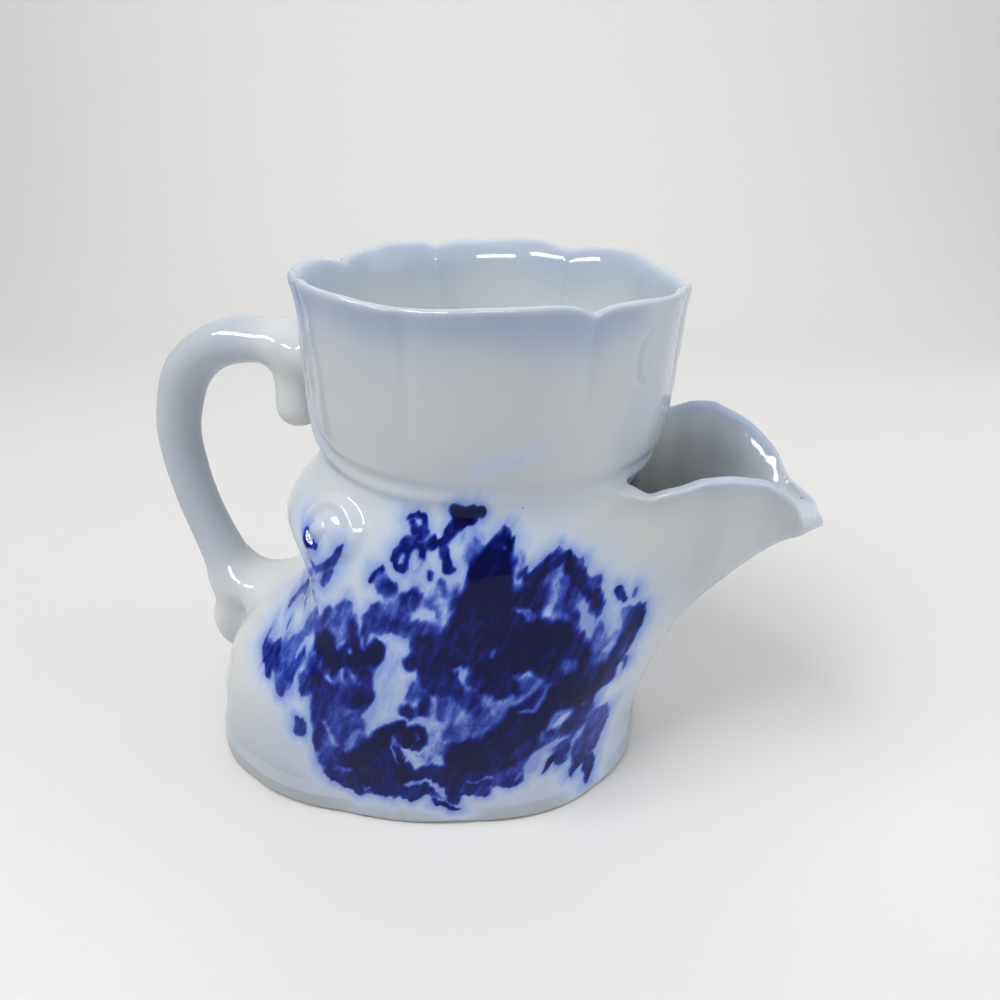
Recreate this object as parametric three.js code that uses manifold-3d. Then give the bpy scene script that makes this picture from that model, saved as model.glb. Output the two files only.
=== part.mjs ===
// Glazed ceramic shaving scuttle: a soap bowl on a hot-water reservoir with an open brush spout.
// Millimetres, +Z up. The table plane is z = 0, +X points out of the spout, and the object is
// close to a mirror image of itself across the plane y = 0.
import * as THREE from "three";
import { mergeVertices } from "three/addons/utils/BufferGeometryUtils.js";
import Module from "manifold-3d";

// ---------- driving dimensions ----------
const BOWL_AXIS_X = 7.35; // the bowl's vertical axis, from the middle of the overall length
const GAP = 0.3; // luting gap between neighbouring clay parts
const WALL = 3.4; // wall of the reservoir and of the spout
const BOWL_WALL = 3.2; // wall of the soap bowl
const FOOT_RING_HEIGHT = 4.0;
const FOOT_RING_WIDTH = 6.0;
const FLOOR_TOP_Z = 7.8; // top of the floor plate
const BOWL_BOTTOM_Z = 62.0; // underside of the soap bowl
const BOWL_FLOOR_Z = 67.6; // inside floor of the soap bowl, level with the drainer
const BOWL_RIM_Z = 108.8;
const RIM_DROP = 3.2; // how much lower the rim is over the spout
const RIM_LOBES = 8; // scallops round the soap bowl's rim
const RIM_LOBE_PHASE = 11; // degrees that the scallops are turned from the plane of symmetry
const RIM_LOBE_DEPTH = 1.7;
const DRAINER_RADIUS = 19.6;
const DRAINER_THICKNESS = 3.0;
const DRAINER_LEDGE = 3.2; // width of the ledge that carries the drainer
const DRAIN_HOLE_DIAMETER = 4.4;
const DRAIN_HOLE_CIRCLE = 10.5;
const DRAIN_HOLES = 6;
const ROUND = 56; // points round the large sections

// Reservoir plan section at each height: left end, right end and half width.
const BODY_Z = [0, 4, 10, 18, 25, 30, 34, 38, 42, 50, 56, 60, 65, 70, 73.5];
const BODY_LEFT = [-69, -68.6, -67.2, -65.4, -63, -59.8, -55.6, -50.6, -48.2, -47.4, -47.2, -46.2, -43.6, -39.2, -37];
const BODY_RIGHT = [34, 33.1, 32.4, 33, 34, 34.8, 35.2, 35.4, 35.4, 35.2, 34.6, 34, 33.4, 32.6, 32];
const BODY_HALF = [42.2, 42.2, 42.4, 42.8, 43, 42.8, 42.4, 41.8, 41, 39.4, 38, 37, 35.4, 33.2, 32.4];
const BODY_MIDDLE = [-24, -23.6, -23, -21.5, -20, -18.6, -17.2, -15.6, -14, -11, -9, -7.6, -6, -4, -3]; // where the section is widest
const BODY_POWER = 2.4;

// Soap bowl plan section at each height.
const BOWL_Z = [62, 64, 67, 70, 74, 78, 84, 92, 100, 108.8];
const BOWL_LEFT = [-26.5, -29.5, -33, -35.8, -38, -39, -39.4, -39.6, -39.8, -40.2];
const BOWL_RIGHT = [22.5, 25.5, 28.8, 31, 33, 34.4, 35.4, 36, 36.6, 37.4];
const BOWL_HALF = [24, 27, 30, 32, 34, 35.4, 36.8, 37.8, 38.8, 39.8];

// Spout: keel height, half width and rim height at each distance from the bowl's axis.
const SPOUT_X = [14, 20, 24, 28, 32, 35, 38, 42, 46, 50, 54, 57, 60, 61.5, 63, 66, 68.6];
const SPOUT_KEEL = [9, 9, 9, 9.4, 14.6, 21, 27.8, 35.4, 41, 45.5, 49.4, 52.4, 55.2, 56.4, 57.3, 57.7, 57.4];
const SPOUT_HALF = [12, 15.3, 18.1, 21.6, 25, 25.4, 25.6, 24.9, 24, 21.6, 18.8, 17.3, 15.1, 13.8, 12, 7.8, 3.8];
const SPOUT_RIM = [72.3, 72.8, 73, 72.8, 72.2, 73.4, 74.6, 76.1, 76.4, 75.4, 73.9, 71.5, 68.7, 66.2, 63.8, 62.2, 60.2];

// Handle centre line in the plane of symmetry: x, z, half depth in the plane, half width across it.
const HANDLE_PATH = [
  [-34, 87.8, 6.4, 8.2], [-42, 89.3, 5.6, 7.2], [-49.9, 91.4, 5.1, 6.3], [-58, 91.6, 5.1, 6.2],
  [-65.5, 89.3, 5.0, 5.8], [-72.2, 83.8, 5.1, 5.75], [-75.7, 76.4, 4.95, 5.4], [-77.5, 68.4, 4.75, 5.2],
  [-77.1, 59.9, 4.65, 5.1], [-75.8, 51.8, 4.6, 5.1], [-73.7, 44.1, 4.7, 5.2], [-71.3, 36.9, 5.0, 5.8],
  [-69.3, 30.3, 5.4, 6.8], [-69.6, 23.1, 5.6, 7.2], [-71.6, 16.4, 5.8, 7.0], [-71.9, 11.6, 4.3, 5.2], [-71.6, 9.2, 1.8, 2.4],
];
const CURL_PATH = [
  [-47.2, 91.5, 4.3, 5.6], [-46.1, 86, 4.6, 5.6], [-45.8, 81.5, 4.8, 5.6], [-45.9, 77.6, 5, 5.9], [-45.8, 74.4, 4, 4.8], [-45.6, 72.6, 1.6, 2],
];
// The foot of the handle reaches across to the reservoir.
const BRACKET_PATH = [
  [-70, 30.6, 4.6, 5.6], [-64, 28.8, 5.2, 7.4], [-57, 28.1, 5.4, 8.2], [-51, 29.4, 5.8, 8.8], [-45, 33, 6, 9],
];

// Scroll in relief on each shoulder: centre, radius of the coil, thickness of the bead.
const SCROLL_CENTRE = [-29.5, 30.6, 61.4];
const SCROLL_RADIUS = 6.2;
const SCROLL_BEAD = 1.5;
const SCROLL_TURNS = 1.35;

// Spout is luted to the reservoir along this slanted plane: x at two heights.
const SEAM_LOW = [36.5, 20];
const SEAM_HIGH = [29.6, 75];

const wasm = await Module();
wasm.setup();

// ---------- helpers ----------
// Smooth monotone curve through a table of values.
function curve(xs, ys) {
  const n = xs.length;
  const d = [], m = new Array(n).fill(0);
  for (let i = 0; i < n - 1; i++) d.push((ys[i + 1] - ys[i]) / (xs[i + 1] - xs[i]));
  m[0] = d[0];
  m[n - 1] = d[n - 2];
  for (let i = 1; i < n - 1; i++)
    m[i] = d[i - 1] * d[i] <= 0 ? 0 : (2 * d[i - 1] * d[i]) / (d[i - 1] + d[i]);
  return (x) => {
    if (x <= xs[0]) return ys[0];
    if (x >= xs[n - 1]) return ys[n - 1];
    let i = 0;
    while (x > xs[i + 1]) i++;
    const h = xs[i + 1] - xs[i], t = (x - xs[i]) / h;
    return (
      ys[i] * (1 + 2 * t) * (1 - t) * (1 - t) + m[i] * h * t * (1 - t) * (1 - t) +
      ys[i + 1] * t * t * (3 - 2 * t) + m[i + 1] * h * t * t * (t - 1)
    );
  };
}

// The smallest (or largest, for sign -1) reach of f when a ball of radius r rolls inside it.
function inset(f, r, sign, lo, hi) {
  return (x) => {
    let best = Infinity;
    for (let k = -8; k <= 8; k++) {
      const dx = (r * k) / 8, u = Math.min(hi, Math.max(lo, x + dx));
      best = Math.min(best, sign * f(u) - Math.sqrt(Math.max(0, r * r - dx * dx)));
    }
    return sign * best;
  };
}

const bodyL = curve(BODY_Z, BODY_LEFT), bodyR = curve(BODY_Z, BODY_RIGHT), bodyW = curve(BODY_Z, BODY_HALF), bodyM = curve(BODY_Z, BODY_MIDDLE);
const bowlL = curve(BOWL_Z, BOWL_LEFT), bowlR = curve(BOWL_Z, BOWL_RIGHT), bowlW = curve(BOWL_Z, BOWL_HALF);
const keel = curve(SPOUT_X, SPOUT_KEEL), spoutW = curve(SPOUT_X, SPOUT_HALF), spoutT = curve(SPOUT_X, SPOUT_RIM);

// Closed skin over a stack of rings with the same number of points, first and last ring capped.
function loft(rings) {
  const n = rings[0].length, v = [], idx = [];
  for (const r of rings) for (const p of r) v.push(p.x, p.y, p.z);
  const caps = [rings[0], rings[rings.length - 1]].map((r) => {
    const c = new THREE.Vector3();
    r.forEach((p) => c.add(p));
    c.divideScalar(n);
    v.push(c.x, c.y, c.z);
    return v.length / 3 - 1;
  });
  for (let k = 0; k < rings.length - 1; k++)
    for (let i = 0; i < n; i++) {
      const a = k * n + i, b = k * n + ((i + 1) % n), c = a + n, d = b + n;
      idx.push(a, b, d, a, d, c);
    }
  const top = (rings.length - 1) * n;
  for (let i = 0; i < n; i++) {
    idx.push(caps[0], (i + 1) % n, i);
    idx.push(caps[1], top + i, top + ((i + 1) % n));
  }
  const g = new THREE.BufferGeometry();
  g.setAttribute("position", new THREE.Float32BufferAttribute(v, 3));
  g.setIndex(idx);
  return g;
}

function solid(geometry) {
  const g = geometry.clone();
  g.deleteAttribute("normal");
  g.deleteAttribute("uv");
  const m = mergeVertices(g, 1e-4);
  const make = (tri) =>
    new wasm.Manifold(
      new wasm.Mesh({ numProp: 3, vertProperties: new Float32Array(m.attributes.position.array), triVerts: tri }),
    );
  const tri = new Uint32Array(m.index.array);
  const s = make(tri);
  if (s.volume() >= 0) return s;
  for (let i = 0; i < tri.length; i += 3) [tri[i + 1], tri[i + 2]] = [tri[i + 2], tri[i + 1]];
  return make(tri);
}

// One plan section: two half superellipses that meet at their widest line.
function plan(z, left, right, half, power, lobe, n = ROUND, middle = (left + right) / 2) {
  const c = middle, ring = [];
  for (let i = 0; i < n; i++) {
    const t = (2 * Math.PI * i) / n, cs = Math.cos(t), sn = Math.sin(t);
    const a = cs > 0 ? right - c : c - left;
    let r = 1 / Math.pow(Math.pow(Math.abs(cs) / a, power) + Math.pow(Math.abs(sn) / half, power), 1 / power);
    if (lobe) r += lobe(t);
    ring.push(new THREE.Vector3(c + r * cs, r * sn, z));
  }
  return ring;
}

const span = (a, b, n) => Array.from({ length: n + 1 }, (_, i) => a + ((b - a) * i) / n);

// ---------- soap bowl ----------
const lobeShape = (z, depth) => (t) => {
  const u = (t * RIM_LOBES) / 2 - THREE.MathUtils.degToRad(RIM_LOBE_PHASE) * (RIM_LOBES / 2);
  const fade = THREE.MathUtils.smoothstep(z, 74, BOWL_RIM_Z);
  return depth * fade * (Math.abs(Math.cos(u)) - 0.75);
};
const BOWL_LEVELS = [62, 63.2, 64.8, 67, 69.4, 72, 75, 79, 84, 90, 96, 102, BOWL_RIM_Z];
// The wall shortens towards the spout, so the rim falls there.
function drop(ring) {
  for (const p of ring) {
    const k = THREE.MathUtils.clamp((p.z - 74) / (BOWL_RIM_Z - 74), 0, 1);
    p.z -= RIM_DROP * k * Math.pow(Math.max(0, p.x / 37.4), 1.8);
  }
  return ring;
}
function bowlOuter(grow = 0) {
  return loft(
    BOWL_LEVELS.map((z, i) => {
      const zz = i === 0 ? z - grow : i === BOWL_LEVELS.length - 1 ? z + grow : z;
      return drop(plan(zz, bowlL(z) - grow, bowlR(z) + grow, bowlW(z) + grow, 2, lobeShape(z, RIM_LOBE_DEPTH), 64));
    }),
  );
}
function bowlInner() {
  const f = (g, s) => inset(g, BOWL_WALL, s, BOWL_BOTTOM_Z, BOWL_RIM_Z);
  const L = f(bowlL, -1), R = f(bowlR, 1), W = f(bowlW, 1);
  const zs = [BOWL_FLOOR_Z, 69, 71, 74, 78, 84, 91, 98, 104, BOWL_RIM_Z, 114];
  return loft(
    zs.map((z) => {
      const u = Math.min(z, BOWL_RIM_Z), k = z === BOWL_FLOOR_Z ? 1.6 : 0;
      return plan(z, L(u) + k, R(u) - k, W(u) - k, 2, lobeShape(u, RIM_LOBE_DEPTH), 64);
    }),
  );
}
function disc(radius, z0, z1, x = BOWL_DRAIN_X, y = 0, n = 48) {
  const g = new THREE.CylinderGeometry(radius, radius, z1 - z0, n);
  g.rotateX(Math.PI / 2);
  g.translate(x, y, (z0 + z1) / 2);
  return g;
}
const BOWL_DRAIN_X = -1.8;
const bowlSolid = solid(bowlOuter());
const bowlFat = solid(bowlOuter(GAP));
const bowlCavity = solid(bowlInner());
const ledgeZ = BOWL_FLOOR_Z - DRAINER_THICKNESS;
const lather_bowl = bowlSolid
  .subtract(bowlCavity)
  .subtract(solid(disc(DRAINER_RADIUS + GAP, ledgeZ - GAP, BOWL_FLOOR_Z + 2)))
  .subtract(solid(disc(DRAINER_RADIUS - DRAINER_LEDGE, BOWL_BOTTOM_Z - 3, ledgeZ + 1)));

// ---------- pierced soap drainer ----------
let soap_drainer = solid(disc(DRAINER_RADIUS, ledgeZ, BOWL_FLOOR_Z));
for (let i = -1; i < DRAIN_HOLES; i++) {
  const t = (2 * Math.PI * i) / DRAIN_HOLES, r = i < 0 ? 0 : DRAIN_HOLE_CIRCLE;
  soap_drainer = soap_drainer.subtract(
    solid(disc(DRAIN_HOLE_DIAMETER / 2, ledgeZ - 1, BOWL_FLOOR_Z + 1, BOWL_DRAIN_X + r * Math.cos(t), r * Math.sin(t), 20)),
  );
}

// ---------- reservoir and spout ----------
function bodyOuter(z0, z1, grow = 0, levels = null) {
  const zs = levels || [z0, ...BODY_Z.filter((z) => z > z0 + 0.8 && z < z1 - 0.8), z1];
  return loft(zs.map((z) => plan(z, bodyL(z) - grow, bodyR(z) + grow, bodyW(z) + grow, BODY_POWER, null, ROUND, bodyM(z))));
}
function bodyInner() {
  const f = (g, s) => inset(g, WALL, s, 0, 73.5);
  const L = f(bodyL, -1), R = f(bodyR, 1), W = f(bodyW, 1);
  const zs = [FLOOR_TOP_Z - 2, 12, 18, 22, 26, 30, 34, 38, 44, 50, 56, 61, 65, 69, 73.5, 78];
  return loft(
    zs.map((z) => {
      const u = Math.min(z, 73.5);
      return plan(z, L(u), R(u), W(u), BODY_POWER, null, ROUND, bodyM(u));
    }),
  );
}
// A trough: half an ellipse hung from its rim line, running along +X.
function trough(stations, half, low, high, n = 22) {
  const rings = stations.map((x) => {
    const w = half(x), b = low(x), t = high(x), ring = [];
    for (let i = 0; i <= n; i++) {
      const a = (Math.PI * i) / n;
      ring.push(new THREE.Vector3(x, -w * Math.cos(a), t - (t - b) * Math.pow(Math.sin(a), 0.92)));
    }
    for (let i = 1; i < 4; i++) ring.push(new THREE.Vector3(x, w - (2 * w * i) / 4, t));
    return ring;
  });
  return loft(rings);
}
const spoutSt = [14, 20, 24, 28, 31, 34, 37, 40, 43.5, 47, 50.5, 54, 57, 60, 61.5, 63, 66, 68.6];
const spoutOuter = (grow = 0) =>
  trough(spoutSt.map((x, i) => (i === spoutSt.length - 1 ? x + grow : x)), (x) => spoutW(x) + grow, (x) => keel(x) - grow, (x) => spoutT(x) + grow);
// The cavity's sides stand upright above the rim line, so the mouth stays open to the sky.
function mouthInner() {
  const f = inset(spoutW, WALL, 1, 14, 68.6);
  const k = inset((x) => keel(x), WALL, -1, 14, 68.6);
  const st = [16, 20, 24, 28, 31, 34, 37, 40, 43.5, 47, 50.5, 54, 57, 60, 62.5, 64];
  return loft(
    st.map((x) => {
      const w = Math.max(1.2, f(x)), b = Math.max(FLOOR_TOP_Z, k(x)), t = spoutT(x), ring = [];
      const n = 18;
      ring.push(new THREE.Vector3(x, -w, 96));
      for (let i = 0; i <= n; i++) {
        const a = (Math.PI * i) / n;
        ring.push(new THREE.Vector3(x, -w * Math.cos(a), t - (t - b) * Math.pow(Math.sin(a), 0.92)));
      }
      ring.push(new THREE.Vector3(x, w, 96));
      return ring;
    }),
  );
}

const cavity = solid(bodyInner()).add(solid(mouthInner()));
// The part of the reservoir shell above the floor plate, with the spout still on it.
const shellOuter = solid(bodyOuter(FLOOR_TOP_Z + GAP, 73.5)).add(solid(spoutOuter()));
const floorCut = solid(new THREE.BoxGeometry(300, 300, 60).translate(0, 0, FLOOR_TOP_Z + GAP - 30));
const shell = shellOuter.subtract(floorCut).subtract(cavity).subtract(bowlFat);

// Half-spaces on each side of the slanted seam.
function seamBlock(side, gap) {
  const [x0, z0] = SEAM_LOW, [x1, z1] = SEAM_HIGH;
  const slope = (x1 - x0) / (z1 - z0);
  const at = (z) => x0 + slope * (z - z0) + (side * gap) / 2;
  const far = side > 0 ? 200 : -200;
  const s = new THREE.Shape();
  s.moveTo(at(-20), -20);
  s.lineTo(at(120), 120);
  s.lineTo(far, 120);
  s.lineTo(far, -20);
  s.closePath();
  const g = new THREE.ExtrudeGeometry(s, { depth: 240, bevelEnabled: false });
  g.rotateX(Math.PI / 2);
  g.translate(0, 120, 0);
  return solid(g);
}
const largest = (s) => s.decompose().sort((a, b) => b.volume() - a.volume())[0];
const reservoir_body = largest(shell.intersect(seamBlock(-1, GAP)));
const brush_spout = largest(shell.intersect(seamBlock(1, GAP)));

// ---------- floor plate and foot ring ----------
const base_floor = solid(bodyOuter(FOOT_RING_HEIGHT + GAP, FLOOR_TOP_Z, 0, [FOOT_RING_HEIGHT + GAP, FLOOR_TOP_Z]));
const ringHole = solid(
  loft([-2, FOOT_RING_HEIGHT + 2].map((z) => {
    const u = Math.max(0, z);
    return plan(z, bodyL(u) + FOOT_RING_WIDTH, bodyR(u) - FOOT_RING_WIDTH, bodyW(u) - FOOT_RING_WIDTH, BODY_POWER, null, ROUND, bodyM(u));
  })),
);
const foot_ring = solid(bodyOuter(0, FOOT_RING_HEIGHT, 0, [0, 2, FOOT_RING_HEIGHT])).subtract(ringHole);

// ---------- handle ----------
// A limb with an oval section that changes along a smooth line in the plane of symmetry.
function limb(path, steps, n = 20) {
  const line = new THREE.CatmullRomCurve3(path.map(([x, z]) => new THREE.Vector3(x, 0, z)), false, "centripetal");
  const t = path.map((_, i) => i / (path.length - 1));
  const depth = curve(t, path.map((p) => p[2])), width = curve(t, path.map((p) => p[3]));
  return loft(
    span(0, 1, steps).map((u) => {
      const c = line.getPoint(u), d = line.getTangent(u), nrm = new THREE.Vector3(-d.z, 0, d.x);
      const ring = [];
      for (let i = 0; i < n; i++) {
        const a = (2 * Math.PI * i) / n;
        ring.push(c.clone().addScaledVector(nrm, depth(u) * Math.cos(a)).add(new THREE.Vector3(0, width(u) * Math.sin(a), 0)));
      }
      return ring;
    }),
  );
}
const shellFat = solid(bodyOuter(-1, 73.5, GAP, [-1, 4, 10, 18, 25, 30, 34, 38, 42, 50, 56, 60, 65, 70, 73.5]));
const handle = largest(
  solid(limb(HANDLE_PATH, 40)).add(solid(limb(CURL_PATH, 14))).add(solid(limb(BRACKET_PATH, 12)))
    .subtract(bowlFat).subtract(shellFat),
);

// ---------- scrolls in relief on the shoulders ----------
function scroll(side) {
  const [cx, cy, cz] = SCROLL_CENTRE;
  const centre = new THREE.Vector3(cx, side * cy, cz);
  // outward direction of the shoulder under the scroll
  const mid = bodyM(cz), a = mid - bodyL(cz), b = bodyW(cz);
  const gx = (Math.sign(cx - mid) * Math.pow(Math.abs(cx - mid) / a, BODY_POWER - 1)) / a;
  const gy = (side * Math.pow(cy / b, BODY_POWER - 1)) / b;
  const out = new THREE.Vector3(gx, gy, 0).normalize();
  out.z = 0.42;
  out.normalize();
  const along = new THREE.Vector3(0, 0, 1).cross(out).normalize().multiplyScalar(-side);
  const up = new THREE.Vector3().crossVectors(out, along).multiplyScalar(-side).normalize();
  if (up.z < 0) up.negate();
  const points = [];
  const turns = SCROLL_TURNS * 2 * Math.PI, m = 26;
  for (let i = 0; i <= m; i++) {
    const s = i / m, r = SCROLL_RADIUS * (1 - 0.72 * s), t = Math.PI * 0.35 + turns * s;
    points.push(centre.clone().addScaledVector(along, r * Math.cos(t)).addScaledVector(up, r * Math.sin(t)).addScaledVector(out, 0.5));
  }
  const section = new THREE.Shape();
  section.absellipse(0, 0, SCROLL_BEAD, SCROLL_BEAD, 0, 2 * Math.PI);
  const bead = new THREE.ExtrudeGeometry(section, {
    steps: 34, curveSegments: 5, bevelEnabled: false, extrudePath: new THREE.CatmullRomCurve3(points),
  });
  const dome = new THREE.SphereGeometry(SCROLL_RADIUS * 0.98, 20, 12);
  dome.scale(1, 1, 0.4);
  dome.applyQuaternion(new THREE.Quaternion().setFromUnitVectors(new THREE.Vector3(0, 0, 1), out));
  dome.translate(centre.x - out.x * 0.9, centre.y - out.y * 0.9, centre.z - out.z * 0.9);
  const eye = new THREE.SphereGeometry(1.8, 14, 10);
  eye.translate(centre.x + out.x * 0.9, centre.y + out.y * 0.9, centre.z + out.z * 0.9);
  return largest(solid(bead).add(solid(dome)).add(solid(eye)).subtract(shellFat).subtract(bowlFat));
}

// ---------- scene graph ----------
const GLAZE = { roughness: 0.12, metalness: 0 };
const part = new THREE.Group();
const scuttle = new THREE.Group();
scuttle.position.x = BOWL_AXIS_X;
part.add(scuttle);
function place(name, s, colour, look = GLAZE) {
  const m = s.getMesh(), g = new THREE.BufferGeometry();
  const v = new Float32Array(m.numVert * 3);
  for (let i = 0; i < m.numVert; i++) v.set(m.vertProperties.subarray(i * m.numProp, i * m.numProp + 3), i * 3);
  g.setAttribute("position", new THREE.BufferAttribute(v, 3));
  g.setIndex(new THREE.BufferAttribute(m.triVerts, 1));
  g.computeVertexNormals();
  const mesh = new THREE.Mesh(g, new THREE.MeshStandardMaterial({ color: colour, ...look }));
  mesh.name = name;
  scuttle.add(mesh);
}
place("lather_bowl", lather_bowl, 0xd5dcea);
place("soap_drainer", soap_drainer, 0xd9e0ec);
place("reservoir_body", reservoir_body, 0xe6eaf3);
place("brush_spout", brush_spout, 0xe3e8f2);
place("base_floor", base_floor, 0xe6eaf3);
place("foot_ring", foot_ring, 0xd8cfc4, { roughness: 0.7, metalness: 0 });
place("handle", handle, 0xd3dae9);
place("scroll_relief_near", scroll(-1), 0xdfe5f0);
place("scroll_relief_far", scroll(1), 0xdfe5f0);

export default part;
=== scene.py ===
from math import radians, pi

import bpy
import numpy as np
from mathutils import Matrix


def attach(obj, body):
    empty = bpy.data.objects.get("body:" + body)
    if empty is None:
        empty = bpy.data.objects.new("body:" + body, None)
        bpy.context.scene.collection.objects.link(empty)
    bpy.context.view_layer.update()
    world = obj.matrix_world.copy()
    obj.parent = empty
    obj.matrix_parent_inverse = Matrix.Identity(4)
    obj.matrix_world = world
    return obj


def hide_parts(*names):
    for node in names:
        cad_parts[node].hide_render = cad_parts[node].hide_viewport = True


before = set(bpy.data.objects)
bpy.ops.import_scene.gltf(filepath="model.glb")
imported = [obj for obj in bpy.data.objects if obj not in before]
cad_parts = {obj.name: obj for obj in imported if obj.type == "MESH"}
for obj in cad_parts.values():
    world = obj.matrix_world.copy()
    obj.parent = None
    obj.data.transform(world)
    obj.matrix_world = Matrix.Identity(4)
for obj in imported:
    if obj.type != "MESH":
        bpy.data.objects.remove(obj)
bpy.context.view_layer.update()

# Lengths are millimetres in the bowl's own frame (bowl axis at x = 0) until a mesh is made.
BOWL_AXIS_X = 7.35
H = 0.62  # pitch of the modelling grid
WALL, BOWL_WALL = 3.4, 2.9
FLOOR_TOP_Z = 7.8

# ------------------------------------------------------------------ helpers


def table(xs, ys):
    """Smooth monotone curve through a table of values, for arrays."""
    xs, ys = np.array(xs, float), np.array(ys, float)
    h = np.diff(xs)
    d = np.diff(ys) / h
    m = np.zeros_like(ys)
    m[0], m[-1] = d[0], d[-1]
    same = d[:-1] * d[1:] > 0
    m[1:-1][same] = (2 * d[:-1] * d[1:] / (d[:-1] + d[1:] + 1e-30))[same]

    def f(x):
        x = np.clip(np.asarray(x, float), xs[0], xs[-1])
        i = np.clip(np.searchsorted(xs, x, side="right") - 1, 0, len(h) - 1)
        t = (x - xs[i]) / h[i]
        return (
            ys[i] * (1 + 2 * t) * (1 - t) ** 2
            + m[i] * h[i] * t * (1 - t) ** 2
            + ys[i + 1] * t * t * (3 - 2 * t)
            + m[i + 1] * h[i] * t * t * (t - 1)
        )

    return f


def smin(a, b, k):
    h = np.clip(0.5 + 0.5 * (b - a) / k, 0, 1)
    return b * (1 - h) + a * h - k * h * (1 - h)


def smax(a, b, k):
    return -smin(-a, -b, k)


def sstep(x, a, b):
    t = np.clip((x - a) / (b - a), 0, 1)
    return t * t * (3 - 2 * t)


# ------------------------------------------------------------------ shape tables

BODY_Z = [0, 4, 10, 18, 25, 30, 34, 38, 42, 46, 50, 56, 60, 65, 70, 73.5]
bodyL = table(BODY_Z, [-69, -68.6, -67.2, -65.4, -62.8, -58.8, -53.4, -48.0, -45.2, -44.9, -46.2, -47.3, -46.4, -43.6, -39.2, -37])
bodyR = table(BODY_Z, [34, 33.1, 32.4, 33, 34, 34.8, 35.2, 35.4, 35.4, 35.3, 35.2, 34.6, 34, 33.4, 32.6, 32])
bodyW = table(BODY_Z, [42.2, 42.2, 42.4, 42.8, 43, 42.8, 42.4, 41.8, 41, 40.2, 39.4, 38, 37, 35.4, 33.2, 32.4])
bodyM = table(BODY_Z, [-24, -23.6, -23, -21.5, -20, -18.6, -17.2, -15.6, -14, -12.5, -11, -9, -7.6, -6, -4, -3])
BODY_POWER = 2.4

BOWL_Z = [60, 62, 64, 67, 70, 74, 78, 84, 92, 100, 108.8]
bowlL = table(BOWL_Z, [-22, -26.5, -29.5, -33, -35.8, -38, -39, -39.4, -39.6, -39.8, -40.2])
bowlR = table(BOWL_Z, [18, 22.5, 25.5, 28.8, 31, 33, 34.4, 35.4, 36, 36.6, 37.4])
bowlW = table(BOWL_Z, [20, 24, 27, 30, 32, 34, 35.4, 36.8, 37.8, 38.8, 39.8])

SPOUT_X = [14, 20, 24, 28, 32, 35, 38, 42, 46, 50, 54, 57, 60, 61.5, 63, 66, 68, 69.6]
keel = table(SPOUT_X, [9, 9, 9, 9.4, 14.6, 21, 27.8, 35.4, 41, 45.5, 49.4, 52.4, 55.2, 56.5, 57.5, 58.3, 58.6, 58.5])
spoutW = table(SPOUT_X, [12, 15.3, 18.1, 21.6, 25, 25.4, 25.6, 24.9, 24, 21.6, 18.8, 17.3, 15.1, 13.8, 12, 7.8, 4.8, 2.2])
spoutT = table(SPOUT_X, [72.3, 72.9, 73.2, 73, 72.5, 73.8, 74.9, 76.4, 76.7, 75.7, 74.2, 71.9, 69.1, 66.4, 64.2, 62.9, 61.9, 61.0])
# how far the lip of the spout stands out from the wall, by depth under the rim
flare = table([-1.5, 0, 1.3, 2.6, 4, 5.5, 7.5, 12], [-0.8, 0, 0.72, 1.4, 2.05, 2.5, 2.75, 2.8])

HANDLE = [
    (-34, 87.8, 6.2, 7.2), (-42, 89.3, 5.6, 6.8), (-49.9, 91.4, 5.1, 6.3), (-58, 91.6, 5.1, 6.2),
    (-65.5, 89.3, 5.0, 5.8), (-72.2, 83.8, 5.1, 5.75), (-75.7, 76.4, 4.95, 5.4), (-77.5, 68.4, 4.75, 5.2),
    (-77.1, 59.9, 4.65, 5.1), (-75.8, 51.8, 4.6, 5.1), (-73.7, 44.1, 4.7, 5.2), (-71.3, 36.9, 5.0, 5.8),
    (-69.0, 30.3, 5.4, 6.8), (-69.5, 23.4, 5.3, 6.9), (-70.6, 17.6, 5.6, 6.6), (-69.8, 12.9, 4.1, 4.9), (-68.6, 10.6, 2.0, 2.5),
]
CURL = [(-47.2, 91.5, 4.3, 5.6), (-46.1, 86, 4.6, 5.6), (-45.8, 81.5, 4.8, 5.6), (-45.9, 77.6, 5.0, 5.9)]
BRACKET = [
    (-70, 30.8, 4.6, 5.6), (-64, 29, 5.2, 7.4), (-57, 28.2, 5.4, 8.2), (-51, 29.5, 5.8, 8.8), (-45, 33, 6, 9),
]
SCROLL = (-27.4, 31.4, 63.6)
SCROLL_R = 6.3
SEAM_LOW, SEAM_HIGH = (36.5, 20.0), (29.6, 75.0)

# ------------------------------------------------------------------ fields on a grid

X0, Y0, Z0 = -86.0, -46.5, -2.2
NX, NY, NZ = int(158 / H) + 1, int(93 / H) + 1, int(114 / H) + 1
gx = (X0 + H * np.arange(NX)).astype(np.float32)
gy = (Y0 + H * np.arange(NY)).astype(np.float32)
gz = (Z0 + H * np.arange(NZ)).astype(np.float32)
X, Y, Z = gx[:, None, None], gy[None, :, None], gz[None, None, :]


def norm_field(F):
    """A field divided by its own slope, so that it measures distance near its surface."""
    g = np.zeros_like(F)
    for ax in range(3):
        d = np.gradient(F, H, axis=ax)
        g += d * d
    F = F / np.sqrt(np.maximum(g, 1e-6))
    return np.clip(F, -14, 14).astype(np.float32)


def row(f, z):
    return f(z).astype(np.float32)


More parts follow.
